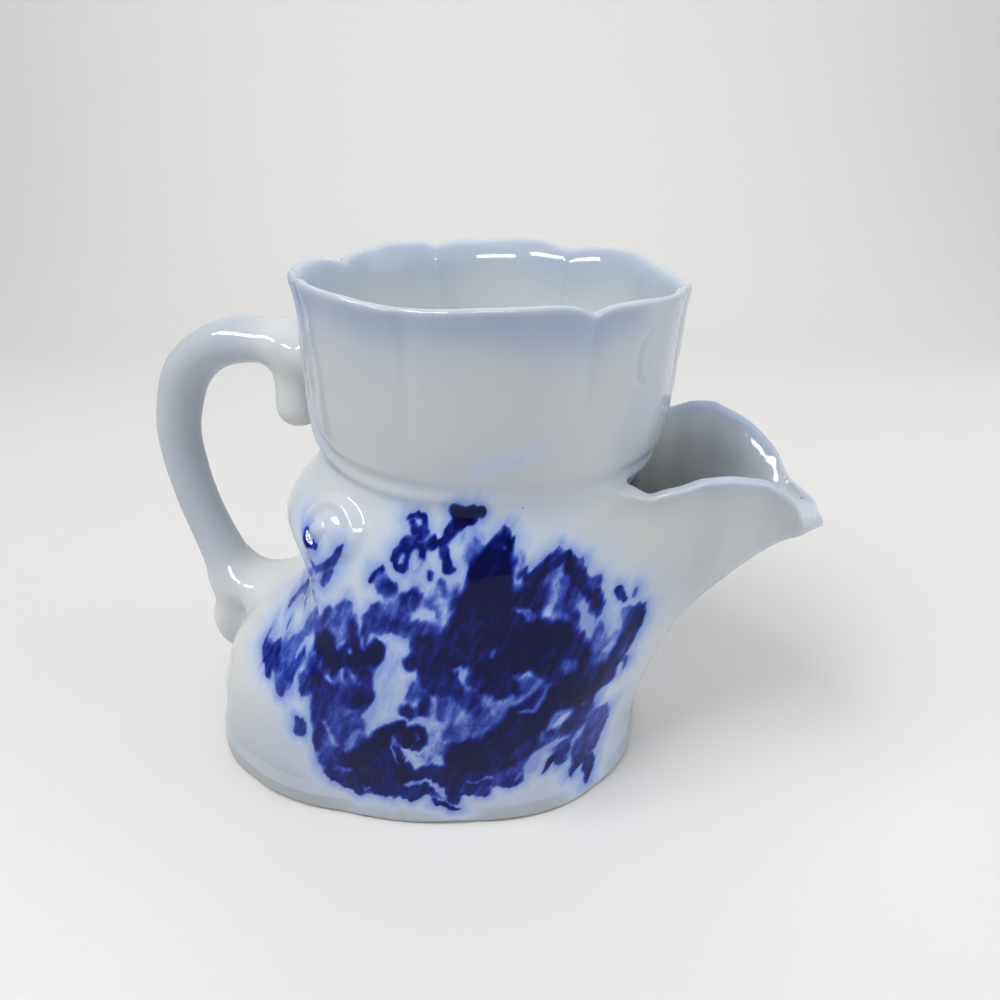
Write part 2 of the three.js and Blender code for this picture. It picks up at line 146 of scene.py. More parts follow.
def body_field():
    L, R, W, M = (row(f, gz)[None, None, :] for f in (bodyL, bodyR, bodyW, bodyM))
    dx = X - M
    a = np.where(dx > 0, R - M, M - L)
    q = (np.abs(dx / a) ** BODY_POWER + np.abs(Y / W) ** BODY_POWER) ** (1 / BODY_POWER)
    th = np.arctan2(Y / W, dx / a)
    # a softly scalloped skirt: shallow lobes that die out above the foot
    lobes = (np.abs(np.sin(th * 6 + 0.35)) - 0.64) * 0.011 * (1 - sstep(gz, 1.0, 17.0))[None, None, :]
    return norm_field(((q / (1 + lobes)) - 1) * 40)


def trough_field(end):
    w, b, t = (row(f, gx)[:, None, None] for f in (spoutW, keel, spoutT))
    s = np.clip((t - Z) / (t - b), 0, None) ** (1 / 0.92)
    w = w - row(flare, t - Z) * (1 - sstep(gx, 57, 64))[:, None, None]
    q = np.sqrt((Y / w) ** 2 + s * s)
    q = np.maximum(q, 1 + (X - end) / 3.0)
    q = np.maximum(q, 1 + (2.0 - X) / 12.0)
    return norm_field((q - 1) * 20)


CUSPS = np.radians([-142.0, -100.0, -53.4, -10.0, 33.0, 73.5, 122.6, 164.0])
RIM_TH = [-180, -170, -158, -146, -138, -131, -118, -109, -101, -94.5, -89, -80.7, -72, -63, -59.4, -55.5, -53.4, -51.5, -47.3, -37, -17, 0, 10, 18, 33, 44, 53, 61.5, 68, 73, 79, 84, 93, 102, 113, 119.7, 122.6, 127.7, 139, 146.6, 155, 159, 164, 170, 174, 180]
RIM_Z = [109.1, 108.95, 108.8, 109.0, 109.4, 109.4, 109.1, 108.5, 108.0, 108.1, 108.3, 108.75, 109.1, 109.35, 109.15, 108.35, 107.8, 108.6, 109.5, 110.1, 110.1, 109.7, 109.3, 109.2, 109.6, 110.2, 110.1, 109.5, 108.8, 108.4, 109.0, 109.7, 109.75, 109.5, 109.4, 109.1, 108.6, 109.5, 109.8, 109.2, 108.8, 108.4, 107.75, 108.5, 108.95, 109.1]
rim_curve = table(RIM_TH, RIM_Z)


def bowl_angles():
    L, R, W = (row(f, gz)[None, None, :] for f in (bowlL, bowlR, bowlW))
    M = (L + R) / 2
    dx = X - M
    th = np.arctan2(Y, dx)
    return L, R, W, M, dx, th


def lobe_place(th):
    """How far an angle is across its lobe of the rim, 0 to 1, and its distance in radians from a cusp."""
    edges = np.concatenate([CUSPS, [CUSPS[0] + 2 * pi]])
    t = np.mod(th - CUSPS[0], 2 * pi) + CUSPS[0]
    i = np.clip(np.searchsorted(edges, t, side="right") - 1, 0, len(CUSPS) - 1)
    s = (t - edges[i]) / (edges[i + 1] - edges[i])
    return s, np.minimum(t - edges[i], edges[i + 1] - t)


def bowl_field():
    """The bowl's outside, with its small relief, and a plain copy for the hollow."""
    L, R, W, M, dx, th = bowl_angles()
    a = (R - L) / 2
    r = np.hypot(dx, Y)
    c, s = np.cos(th), np.sin(th)
    Rb = 1 / np.sqrt((c / a) ** 2 + (s / W) ** 2)
    place, near = lobe_place(th)
    # petal lobes at the rim, dying out down the wall
    swell = np.sin(pi * np.clip(place, 0, 1)) ** 0.7
    Rb = Rb + (1.15 * (swell - 0.72)) * (sstep(gz, 76, 107) ** 1.2)[None, None, :]
    # slight flare of the lip
    Rb = Rb + 0.7 * (sstep(gz, 101.5, 110) ** 1.6)[None, None, :]
    plain = norm_field(r - Rb)
    # creases that run down the outside from the cusps, with a faint ridge beside each
    arc_near = near * 39
    down = (sstep(gz, 79, 92) * (1 - 0.5 * sstep(gz, 101, 107)))[None, None, :]
    Rb = Rb - 0.15 * np.exp(-((arc_near / 1.1) ** 2)) * down
    # faint flutes on the wall
    Rb = Rb + 0.06 * np.cos(th * 17 + 0.6) * (sstep(gz, 78, 86) * (1 - sstep(gz, 95, 104)))[None, None, :]
    # raised border that runs down beside the handle and along the foot of the bowl
    phi = np.abs(np.abs(th) - pi)  # angle from the handle
    arc = phi * 37.0
    zline = table([0, 9, 10.5, 12.5, 16, 22, 32, 48, 70], [118, 104, 96, 87, 80.5, 76.6, 74.2, 73.2, 73.0])
    zl = row(zline, np.clip(arc, 0, 70))
    bend = np.abs(row(zline, np.clip(arc + 0.5, 0, 70)) - row(zline, np.clip(arc - 0.5, 0, 70)))
    dd = (Z - zl) / np.sqrt(1 + bend**2)
    amp = np.maximum(1 - sstep(arc, 44, 72), 0.45) * sstep(arc, 8.5, 10.5)
    Rb = Rb + amp * (0.85 * np.exp(-((dd + 0.2) / 1.2) ** 2) - 0.5 * np.exp(-((dd - 2.4) / 1.0) ** 2))
    inner = np.maximum(1 - sstep(arc, 30, 52), 0) * sstep(arc, 8.5, 11)
    Rb = Rb + inner * (0.30 * np.exp(-((dd - 4.4) / 0.8) ** 2))
    # a small moulded curl on the spout side
    px, pz = th * 38.5, Z
    cc = [(-1.5, 4.6), (-2.9, 3.6), (-3.3, 1.5), (-3.2, -1.0), (-2.6, -3.2), (-0.9, -4.3)]
    q = np.full(np.broadcast_shapes(px.shape, pz.shape), 99.0, np.float32)
    for (u0, w0), (u1, w1) in zip(cc[:-1], cc[1:]):
        ax, az = px - (-22.6 + u0), pz - (97.4 + w0)
        du, dw = u1 - u0, w1 - w0
        t = np.clip((ax * du + az * dw) / (du * du + dw * dw), 0, 1)
        q = np.minimum(q, np.hypot(ax - t * du, az - t * dw))
    Rb = Rb - 0.24 * np.exp(-((q / 0.7) ** 2)) + 0.1 * np.exp(-(((q - 1.4) / 0.8) ** 2))
    return norm_field(r - Rb), plain, th


def spline_points(path, step=1.0):
    """Points of a centripetal curve through the path, with its radii."""
    P = np.array(path, float)
    t = np.concatenate([[0], np.cumsum(np.linalg.norm(np.diff(P[:, :2], axis=0), axis=1) ** 0.9)])
    n = int(np.linalg.norm(np.diff(P[:, :2], axis=0), axis=1).sum() / step) + 2
    u = np.linspace(0, t[-1], n)
    out = []
    for k in range(4):
        # natural-looking cubic through the points
        y = P[:, k]
        m = np.gradient(y, t)
        i = np.clip(np.searchsorted(t, u, side="right") - 1, 0, len(t) - 2)
        h = t[i + 1] - t[i]
        s = (u - t[i]) / h
        out.append(
            y[i] * (1 + 2 * s) * (1 - s) ** 2 + m[i] * h * s * (1 - s) ** 2
            + y[i + 1] * s * s * (3 - 2 * s) + m[i + 1] * h * s * s * (s - 1)
        )
    return np.stack(out, 1)


def limb_field(path, F, box):
    """The union of ovals along a line in the plane of symmetry, in a box of the grid."""
    (i0, i1), (j0, j1), (k0, k1) = box
    x, y, z = X[i0:i1], Y[:, j0:j1], Z[:, :, k0:k1]
    best = np.full((i1 - i0, j1 - j0, k1 - k0), 1e9, np.float32)
    for cx, cz, ri, ry in spline_points(path, 1.1).astype(np.float32):
        q = np.sqrt(((x - cx) ** 2 + (z - cz) ** 2) / ri**2 + (y / ry) ** 2)
        best = np.minimum(best, (q - 1) * (0.5 * (ri + ry)))
    F[i0:i1, j0:j1, k0:k1] = np.minimum(F[i0:i1, j0:j1, k0:k1], best)


def index(v, origin, n):
    return int(np.clip(round((v - origin) / H), 0, n))


def handle_field():
    F = np.full((NX, NY, NZ), 14, np.float32)
    box = ((0, index(-30, X0, NX)), (index(-15, Y0, NY), index(15, Y0, NY)), (index(-1, Z0, NZ), index(102, Z0, NZ)))
    limb_field(HANDLE, F, box)
    G = np.full((NX, NY, NZ), 14, np.float32)
    limb_field(CURL, G, box)
    K = np.full((NX, NY, NZ), 14, np.float32)
    limb_field(BRACKET, K, box)
    (i0, i1), (j0, j1), (k0, k1) = box
    sub = (slice(i0, i1), slice(j0, j1), slice(k0, k1))
    F[sub] = smin(F[sub], G[sub], 3.0)
    F[sub] = smin(F[sub], K[sub], 4.0)
    return F


def scroll_relief(low):
    """Height to add to the body's skin at each shoulder: an arched step, a coil and a pearl."""
    cx, cy, cz = SCROLL
    out = np.zeros((NX, NY, NZ), np.float32)
    i0, i1 = index(cx - 13, X0, NX), index(cx + 12, X0, NX)
    k0, k1 = index(cz - 13, Z0, NZ), index(cz + 12, Z0, NZ)
    nx, ny, nz = -0.46, 0.80, 0.38
    n = np.array([nx, ny, nz])
    n /= np.linalg.norm(n)
    a = np.array([n[1], -n[0], 0])
    a /= np.linalg.norm(a)  # along the shoulder, towards the spout
    b = np.cross(n, a)
    if b[2] < 0:
        b = -b
    for side in (-1, 1):
        j0, j1 = (index(-cy - 12, Y0, NY), index(-cy + 12, Y0, NY)) if side < 0 else (index(cy - 12, Y0, NY), index(cy + 12, Y0, NY))
        dx = X[i0:i1] - cx
        dy = side * Y[:, j0:j1] - cy
        dz = Z[:, :, k0:k1] - cz
        p = dx * a[0] + dy * a[1] + dz * a[2]
        q = dx * b[0] + dy * b[1] + dz * b[2]
        r = np.hypot(p * 0.86, q)
        t = np.arctan2(q, p)  # 0 towards the spout, pi/2 up
        # crest that starts low on the handle side, goes over the top and down on the spout side
        turn = np.mod(t + radians(62), 2 * pi) / (2 * pi)
        arc = sstep(turn, 0.02, 0.12) * (1 - sstep(turn, 0.80, 0.95))
        rr = SCROLL_R * (1.0 - 0.05 * turn)
        hgt = 0.70 * (1 - sstep(r, rr - 0.2, rr + 1.2)) * (0.35 + 0.65 * arc)
        hgt += 0.32 * np.exp(-(((r - rr + 0.7) / 0.85) ** 2)) * arc
        hgt -= 0.42 * np.exp(-(((r - rr + 2.4) / 1.0) ** 2)) * arc
        hgt -= 0.26 * np.exp(-(((r - rr - 2.1) / 1.6) ** 2)) * arc
        # pearl at the eye
        c2 = np.hypot(p + 2.2, q + 0.4)
        hgt += 1.25 * np.exp(-((c2 / 1.5) ** 2.6)) - 0.3 * np.exp(-(((c2 - 2.2) / 0.6) ** 2))
        out[i0:i1, j0:j1, k0:k1] += (hgt * (1 - sstep(r, 9.8, 11.8))).astype(np.float32)
    return out


body = body_field()
trough = trough_field(68.1)
low = smin(body, trough, 8.0)
room = smin(body, trough_field(80.0), 8.0)  # for the hollow, which runs out over the tip
# the neck draws in at the two corners beside the handle
for side in (-1, 1):
    dent = 7.8 * np.exp(-(((X + 41.5) / 9) ** 2) - ((Y - side * 23) / 11) ** 2 - ((Z - 50) / 6) ** 2).astype(np.float32)
    low, room = low + dent, room + dent
del dent
del trough, body
# the shoulders swell a little behind the scrolls, like small ears
relief = scroll_relief(low)
bowl, bowl_plain, bowl_th = bowl_field()
handle = handle_field()

low_skin = low - relief
# ---- lower vessel: skin, cavity, rim line of the spout, floor, foot
cav = smax(room + WALL, FLOOR_TOP_Z - Z, 6.0)
del room
top = row(spoutT, gx)[:, None, None] + 0 * Y
lower = np.maximum(low_skin, -cav)
lower = smax(lower, (Z - top) * 0.93, 1.7)
recess = smax(low + 5.6, Z - 3.4, 2.0)
lower = smax(lower, -recess, 1.2)
theta_foot = np.arctan2(Y, X + 17)
lift = 0.55 * np.exp(-(((theta_foot + 1.22) / 0.16) ** 2)) + 0.35 * np.exp(-(((theta_foot + 2.05) / 0.12) ** 2))
lift = lift + 0.4 * np.exp(-(((theta_foot - 1.4) / 0.2) ** 2)) + 0.3 * np.exp(-(((theta_foot - 2.6) / 0.15) ** 2))
lower = smax(lower, lift - Z, 1.1)
del recess

# ---- bowl: wavy rim, wall that thins into the lip, cavity with a rounded floor
rim_z = row(rim_curve, np.degrees(bowl_th)) - 3.2 * np.clip(X / 37.4, 0, None) ** 1.8
BOWL_FLOOR_Z = 67.6
thin = np.clip((Z - (rim_z - 7.5)) / 7.5, 0, 1.1) ** 3
bcav = smax(bowl_plain + (BOWL_WALL + 0.2) - 1.3 * thin, BOWL_FLOOR_Z - Z, 7.0)
cup = np.maximum(bowl, -bcav)
cup = smax(cup, (Z - rim_z) * 0.95, 1.3)
cup = smax(cup, 61.6 - Z, 3.0)
del rim_z, thin, bcav

# the handle stays out of the hollow of the bowl and of the reservoir
hnd = np.maximum(handle, -(bowl + 1.2))
hnd = np.maximum(hnd, -(low + 1.2))

total = smin(lower, cup, 1.8)
total = np.where(Z > 40, smin(total, hnd, 3.2), smin(total, hnd, 4.5))
# keep the two hollows open where the joins have grown into them
total = np.maximum(total, -(cav + 0.0) * (bowl > 0.9) + (bowl <= 0.9) * -14)
# well for the drainer, with its ledge
DX, DR = -1.8, 19.6
rd = np.hypot(X - DX, Y)
well = np.maximum(rd - (DR + 0.18), np.maximum(64.5 - Z, Z - 68.6))
well2 = np.maximum(rd - (DR - 3.2), np.maximum(55 - Z, Z - 66))
total = smax(total, -well, 0.5)
total = smax(total, -well2, 0.5)
total = total.astype(np.float32)

# ------------------------------------------------------------------ labels: one for each clay part

NAMES = ["", "lather_bowl", "reservoir_body", "brush_spout", "base_floor", "foot_ring", "handle", "scroll_relief_near", "scroll_relief_far"]
slope = (SEAM_HIGH[0] - SEAM_LOW[0]) / (SEAM_HIGH[1] - SEAM_LOW[1])
seam = X - (SEAM_LOW[0] + slope * (Z - SEAM_LOW[1]))
label = np.full((NX, NY, NZ), 2, np.int8)
label[np.broadcast_to(seam > 0, label.shape)] = 3
cx, cy, cz = SCROLL
for side, num in ((-1, 7), (1, 8)):
    d = np.sqrt((X - cx) ** 2 + (Y - side * cy) ** 2 + (Z - cz) ** 2)
    label[(d < SCROLL_R + 2.6) & (low > -1.9)] = num
lowc = np.maximum(low, Z - 74.5)
label[np.broadcast_to(Z < 8.05, label.shape)] = 4
label[(Z < 4.15) & (low > -6.4)] = 5
label[(lowc > np.maximum(handle, 0)) & (X < -28)] = 6
label[(bowl < np.maximum(np.minimum(lowc, handle), 0)) & (Z > 58)] = 1
label[total >= 0] = 0


def tidy(label):
    """Give stray cells of one clay part, alone inside another, to the part around them."""
    steps = np.array([label.shape[1] * label.shape[2], label.shape[2], 1])
    steps = np.concatenate([steps, -steps])
    seam = np.zeros(label.shape, bool)
    for ax in range(3):
        a, b = np.moveaxis(label, ax, 0)[1:], np.moveaxis(label, ax, 0)[:-1]
        s = np.moveaxis(seam, ax, 0)
        differ = (a != b) & (a > 0) & (b > 0)
        s[1:] |= differ
        s[:-1] |= differ
    core = np.zeros(label.shape, bool)
    core[1:-1, 1:-1, 1:-1] = True
    core, flat = core.reshape(-1), label.reshape(-1)
    todo = np.flatnonzero(seam.reshape(-1) & core)
    for turn in range(12):
        own, around = flat[todo], flat[todo[:, None] + steps]
        lone = (around == own[:, None]).sum(1) <= 1
        todo, own, around = todo[lone], own[lone], around[lone]
        votes = np.stack([(around == num).sum(1) * (own != num) for num in range(1, 10)], 1)
        sure = votes.max(1) > 0
        todo, votes = todo[sure], votes[sure]
        if not len(todo):
            break
        flat[todo] = votes.argmax(1) + 1
        todo = np.unique(todo[:, None] + steps)
        todo = todo[core[todo] & (flat[todo] > 0)]


tidy(label)
del bowl_th, bowl_plain, hnd, lowc, lower, cup, relief, rd, well, well2

# ------------------------------------------------------------------ skin of the labelled grid


def sample(F, p):
    """Trilinear reading of a grid field at points given in grid units."""
    i = np.clip(np.floor(p).astype(np.int32), 0, np.array(F.shape) - 2)
    t = p - i
    x, y, z = i[:, 0], i[:, 1], i[:, 2]
    tx, ty, tz = t[:, 0], t[:, 1], t[:, 2]
    c = 0
    for a in (0, 1):
        for b in (0, 1):
            for d in (0, 1):
                w = (tx if a else 1 - tx) * (ty if b else 1 - ty) * (tz if d else 1 - tz)
                c = c + w * F[x + a, y + b, z + d]
    return c


def gradient(F, p, e=0.5):
    out = np.empty_like(p)
    for k in range(3):
        d = np.zeros(3)
        d[k] = e
        out[:, k] = (sample(F, p + d) - sample(F, p - d)) / (2 * e)
    return out


def skins(F, label, origin=(X0, Y0, Z0), pitch=H, kinds=9):
    """Dual skin of every label: {label: (points in mm, normals, quads)}. Neighbours share their seam's points."""
    n = np.array(label.shape)
    c = label[:-1, :-1, :-1]
    mixed = np.zeros(c.shape, bool)
    for a in (0, 1):
        for b in (0, 1):
            for d in (0, 1):
                if a or b or d:
                    mixed |= label[a : n[0] - 1 + a, b : n[1] - 1 + b, d : n[2] - 1 + d] != c
    cell = np.argwhere(mixed)
    ident = np.full(c.shape, -1, np.int32)
    ident[mixed] = np.arange(len(cell))
    # first place: the mean of the crossings on the cell's edges
    total_p = np.zeros((len(cell), 3))
    count = np.zeros(len(cell))
    inner_p = np.zeros((len(cell), 3))
    inner_n = np.zeros(len(cell))
    corners = [(a, b, d) for a in (0, 1) for b in (0, 1) for d in (0, 1)]
    val = {k: F[cell[:, 0] + k[0], cell[:, 1] + k[1], cell[:, 2] + k[2]] for k in corners}
    lab = {k: label[cell[:, 0] + k[0], cell[:, 1] + k[1], cell[:, 2] + k[2]] for k in corners}
    for k in corners:
        for ax in range(3):
            if k[ax]:
                continue
            m = list(k)
            m[ax] = 1
            m = tuple(m)
            v0, v1 = val[k], val[m]
            out = (lab[k] == 0) != (lab[m] == 0)
            t = np.where(out, v0 / np.where(np.abs(v0 - v1) < 1e-9, 1, v0 - v1), 0.5)
            t = np.clip(t, 0, 1)
            q = np.tile(np.array(k, float), (len(cell), 1))
            q[:, ax] = t
            total_p[out] += q[out]
            count[out] += 1
            ins = (lab[k] != lab[m]) & ~out
            inner_p[ins] += q[ins]
            inner_n[ins] += 1
    surf = count > 0
    pos = np.where(surf[:, None], total_p / np.maximum(count, 1)[:, None], inner_p / np.maximum(inner_n, 1)[:, None])
    p = cell + pos
    ps = p[surf]
    start = ps.copy()
    for _ in range(4):
        g = gradient(F, ps)
        f = sample(F, ps)
        stepv = g * (f / np.maximum((g * g).sum(1), 1e-4))[:, None]
        ps = ps - np.clip(stepv, -0.5, 0.5)
        ps = start + np.clip(ps - start, -0.75, 0.75)
    p[surf] = ps
    nrm = gradient(F, p, 0.8)
    nrm /= np.maximum(np.linalg.norm(nrm, axis=1), 1e-9)[:, None]
    world = p * pitch + np.array(origin)
    tris = {k: [] for k in range(1, kinds)}
    inside = ~surf
    for ax in range(3):
        lo = [slice(1, n[0] - 1), slice(1, n[1] - 1), slice(1, n[2] - 1)]
        lo[ax] = slice(0, n[ax] - 1)
        hi = list(lo)
        hi[ax] = slice(1, n[ax])
        A, B = label[tuple(lo)], label[tuple(hi)]
        e = np.argwhere(A != B)
        la, lb = A[tuple(e.T)], B[tuple(e.T)]
        e = e + np.array([s.start for s in lo])
        b, d = [(1, 2), (2, 0), (0, 1)][ax]
        v = []
        for ob, od in ((-1, -1), (0, -1), (0, 0), (-1, 0)):
            q = e.copy()
            q[:, b] += ob
            q[:, d] += od
            v.append(ident[q[:, 0], q[:, 1], q[:, 2]])
        v = np.stack(v, 1)
        wall = (la > 0) & (lb > 0)
        deep = inside[v]
        # a wall whose corners all lie on the skin would only double the skin
        keep = ~(wall & ~deep.any(1))
        la, lb, v, wall, deep = la[keep], lb[keep], v[keep], wall[keep], deep[keep]
        # cut each quad along its shorter diagonal, a wall along the one that ends inside
        d02 = ((world[v[:, 0]] - world[v[:, 2]]) ** 2).sum(1)
        d13 = ((world[v[:, 1]] - world[v[:, 3]]) ** 2).sum(1)
        first = d02 <= d13
        first = np.where(wall & (deep.sum(1) == 1), deep[:, 0] | deep[:, 2], first)
        t1 = np.where(first[:, None], v[:, [0, 1, 2]], v[:, [1, 2, 3]])
        t2 = np.where(first[:, None], v[:, [0, 2, 3]], v[:, [1, 3, 0]])
        for k in tris:
            ma, mb = la == k, lb == k
            tris[k] += [t1[ma], t2[ma], t1[mb][:, ::-1], t2[mb][:, ::-1]]
    out = {}
    for k, ts in tris.items():
        q = np.concatenate(ts)
        used, inv = np.unique(q, return_inverse=True)
        out[k] = (world[used], nrm[used], inv.reshape(-1, 3))
    return out


def make_mesh(name, pts, nrm, faces, attrs=None):
    me = bpy.data.meshes.new(name)
    co = pts.copy()
    co[:, 0] += BOWL_AXIS_X
    co /= 1000
    k = faces.shape[1]
    me.vertices.add(len(co))
    me.vertices.foreach_set("co", co.astype(np.float32).ravel())
    me.loops.add(faces.size)
    me.loops.foreach_set("vertex_index", faces.astype(np.int32).ravel())
    me.polygons.add(len(faces))
    me.polygons.foreach_set("loop_start", np.arange(0, faces.size, k, dtype=np.int32))
    me.update(calc_edges=True)
    me.validate()
    me.polygons.foreach_set("use_smooth", np.ones(len(me.polygons), bool))
    if nrm is not None and len(me.vertices) == len(nrm):
        me.normals_split_custom_set_from_vertices(nrm.astype(np.float32))
    for key, val in (attrs or {}).items():
        at = me.attributes.new(key, "FLOAT", "POINT")
        at.data.foreach_set("value", val.astype(np.float32))
    ob = bpy.data.objects.new(name, me)
    bpy.context.scene.collection.objects.link(ob)
    return ob


parts = skins(total, label)


def drainer():
    """The pierced disc that lies on the ledge in the bowl's floor: one hole at the centre, six round it."""
    h = 0.42
    o = (DX - 21.0, -21.0, 63.3)
    x = (o[0] + h * np.arange(int(42 / h) + 1)).astype(np.float32)[:, None, None]
    y = (o[1] + h * np.arange(int(42 / h) + 1)).astype(np.float32)[None, :, None]
    z = (o[2] + h * np.arange(int(5.8 / h) + 1)).astype(np.float32)[None, None, :]
    F = smax(np.hypot(x - DX, y) - 19.6, np.abs(z - 66.1) - 1.5, 0.7)
    for i in range(-1, 6):
        t, r = pi * i / 3, (0 if i < 0 else 10.5)
        F = smax(F, 2.2 - np.hypot(x - DX - r * np.cos(t), y - r * np.sin(t)), 0.9)
    F = F.astype(np.float32)
    return skins(F, (F < 0).astype(np.int8), o, h, 2)[1]



# ------------------------------------------------------------------ underglaze print and tints

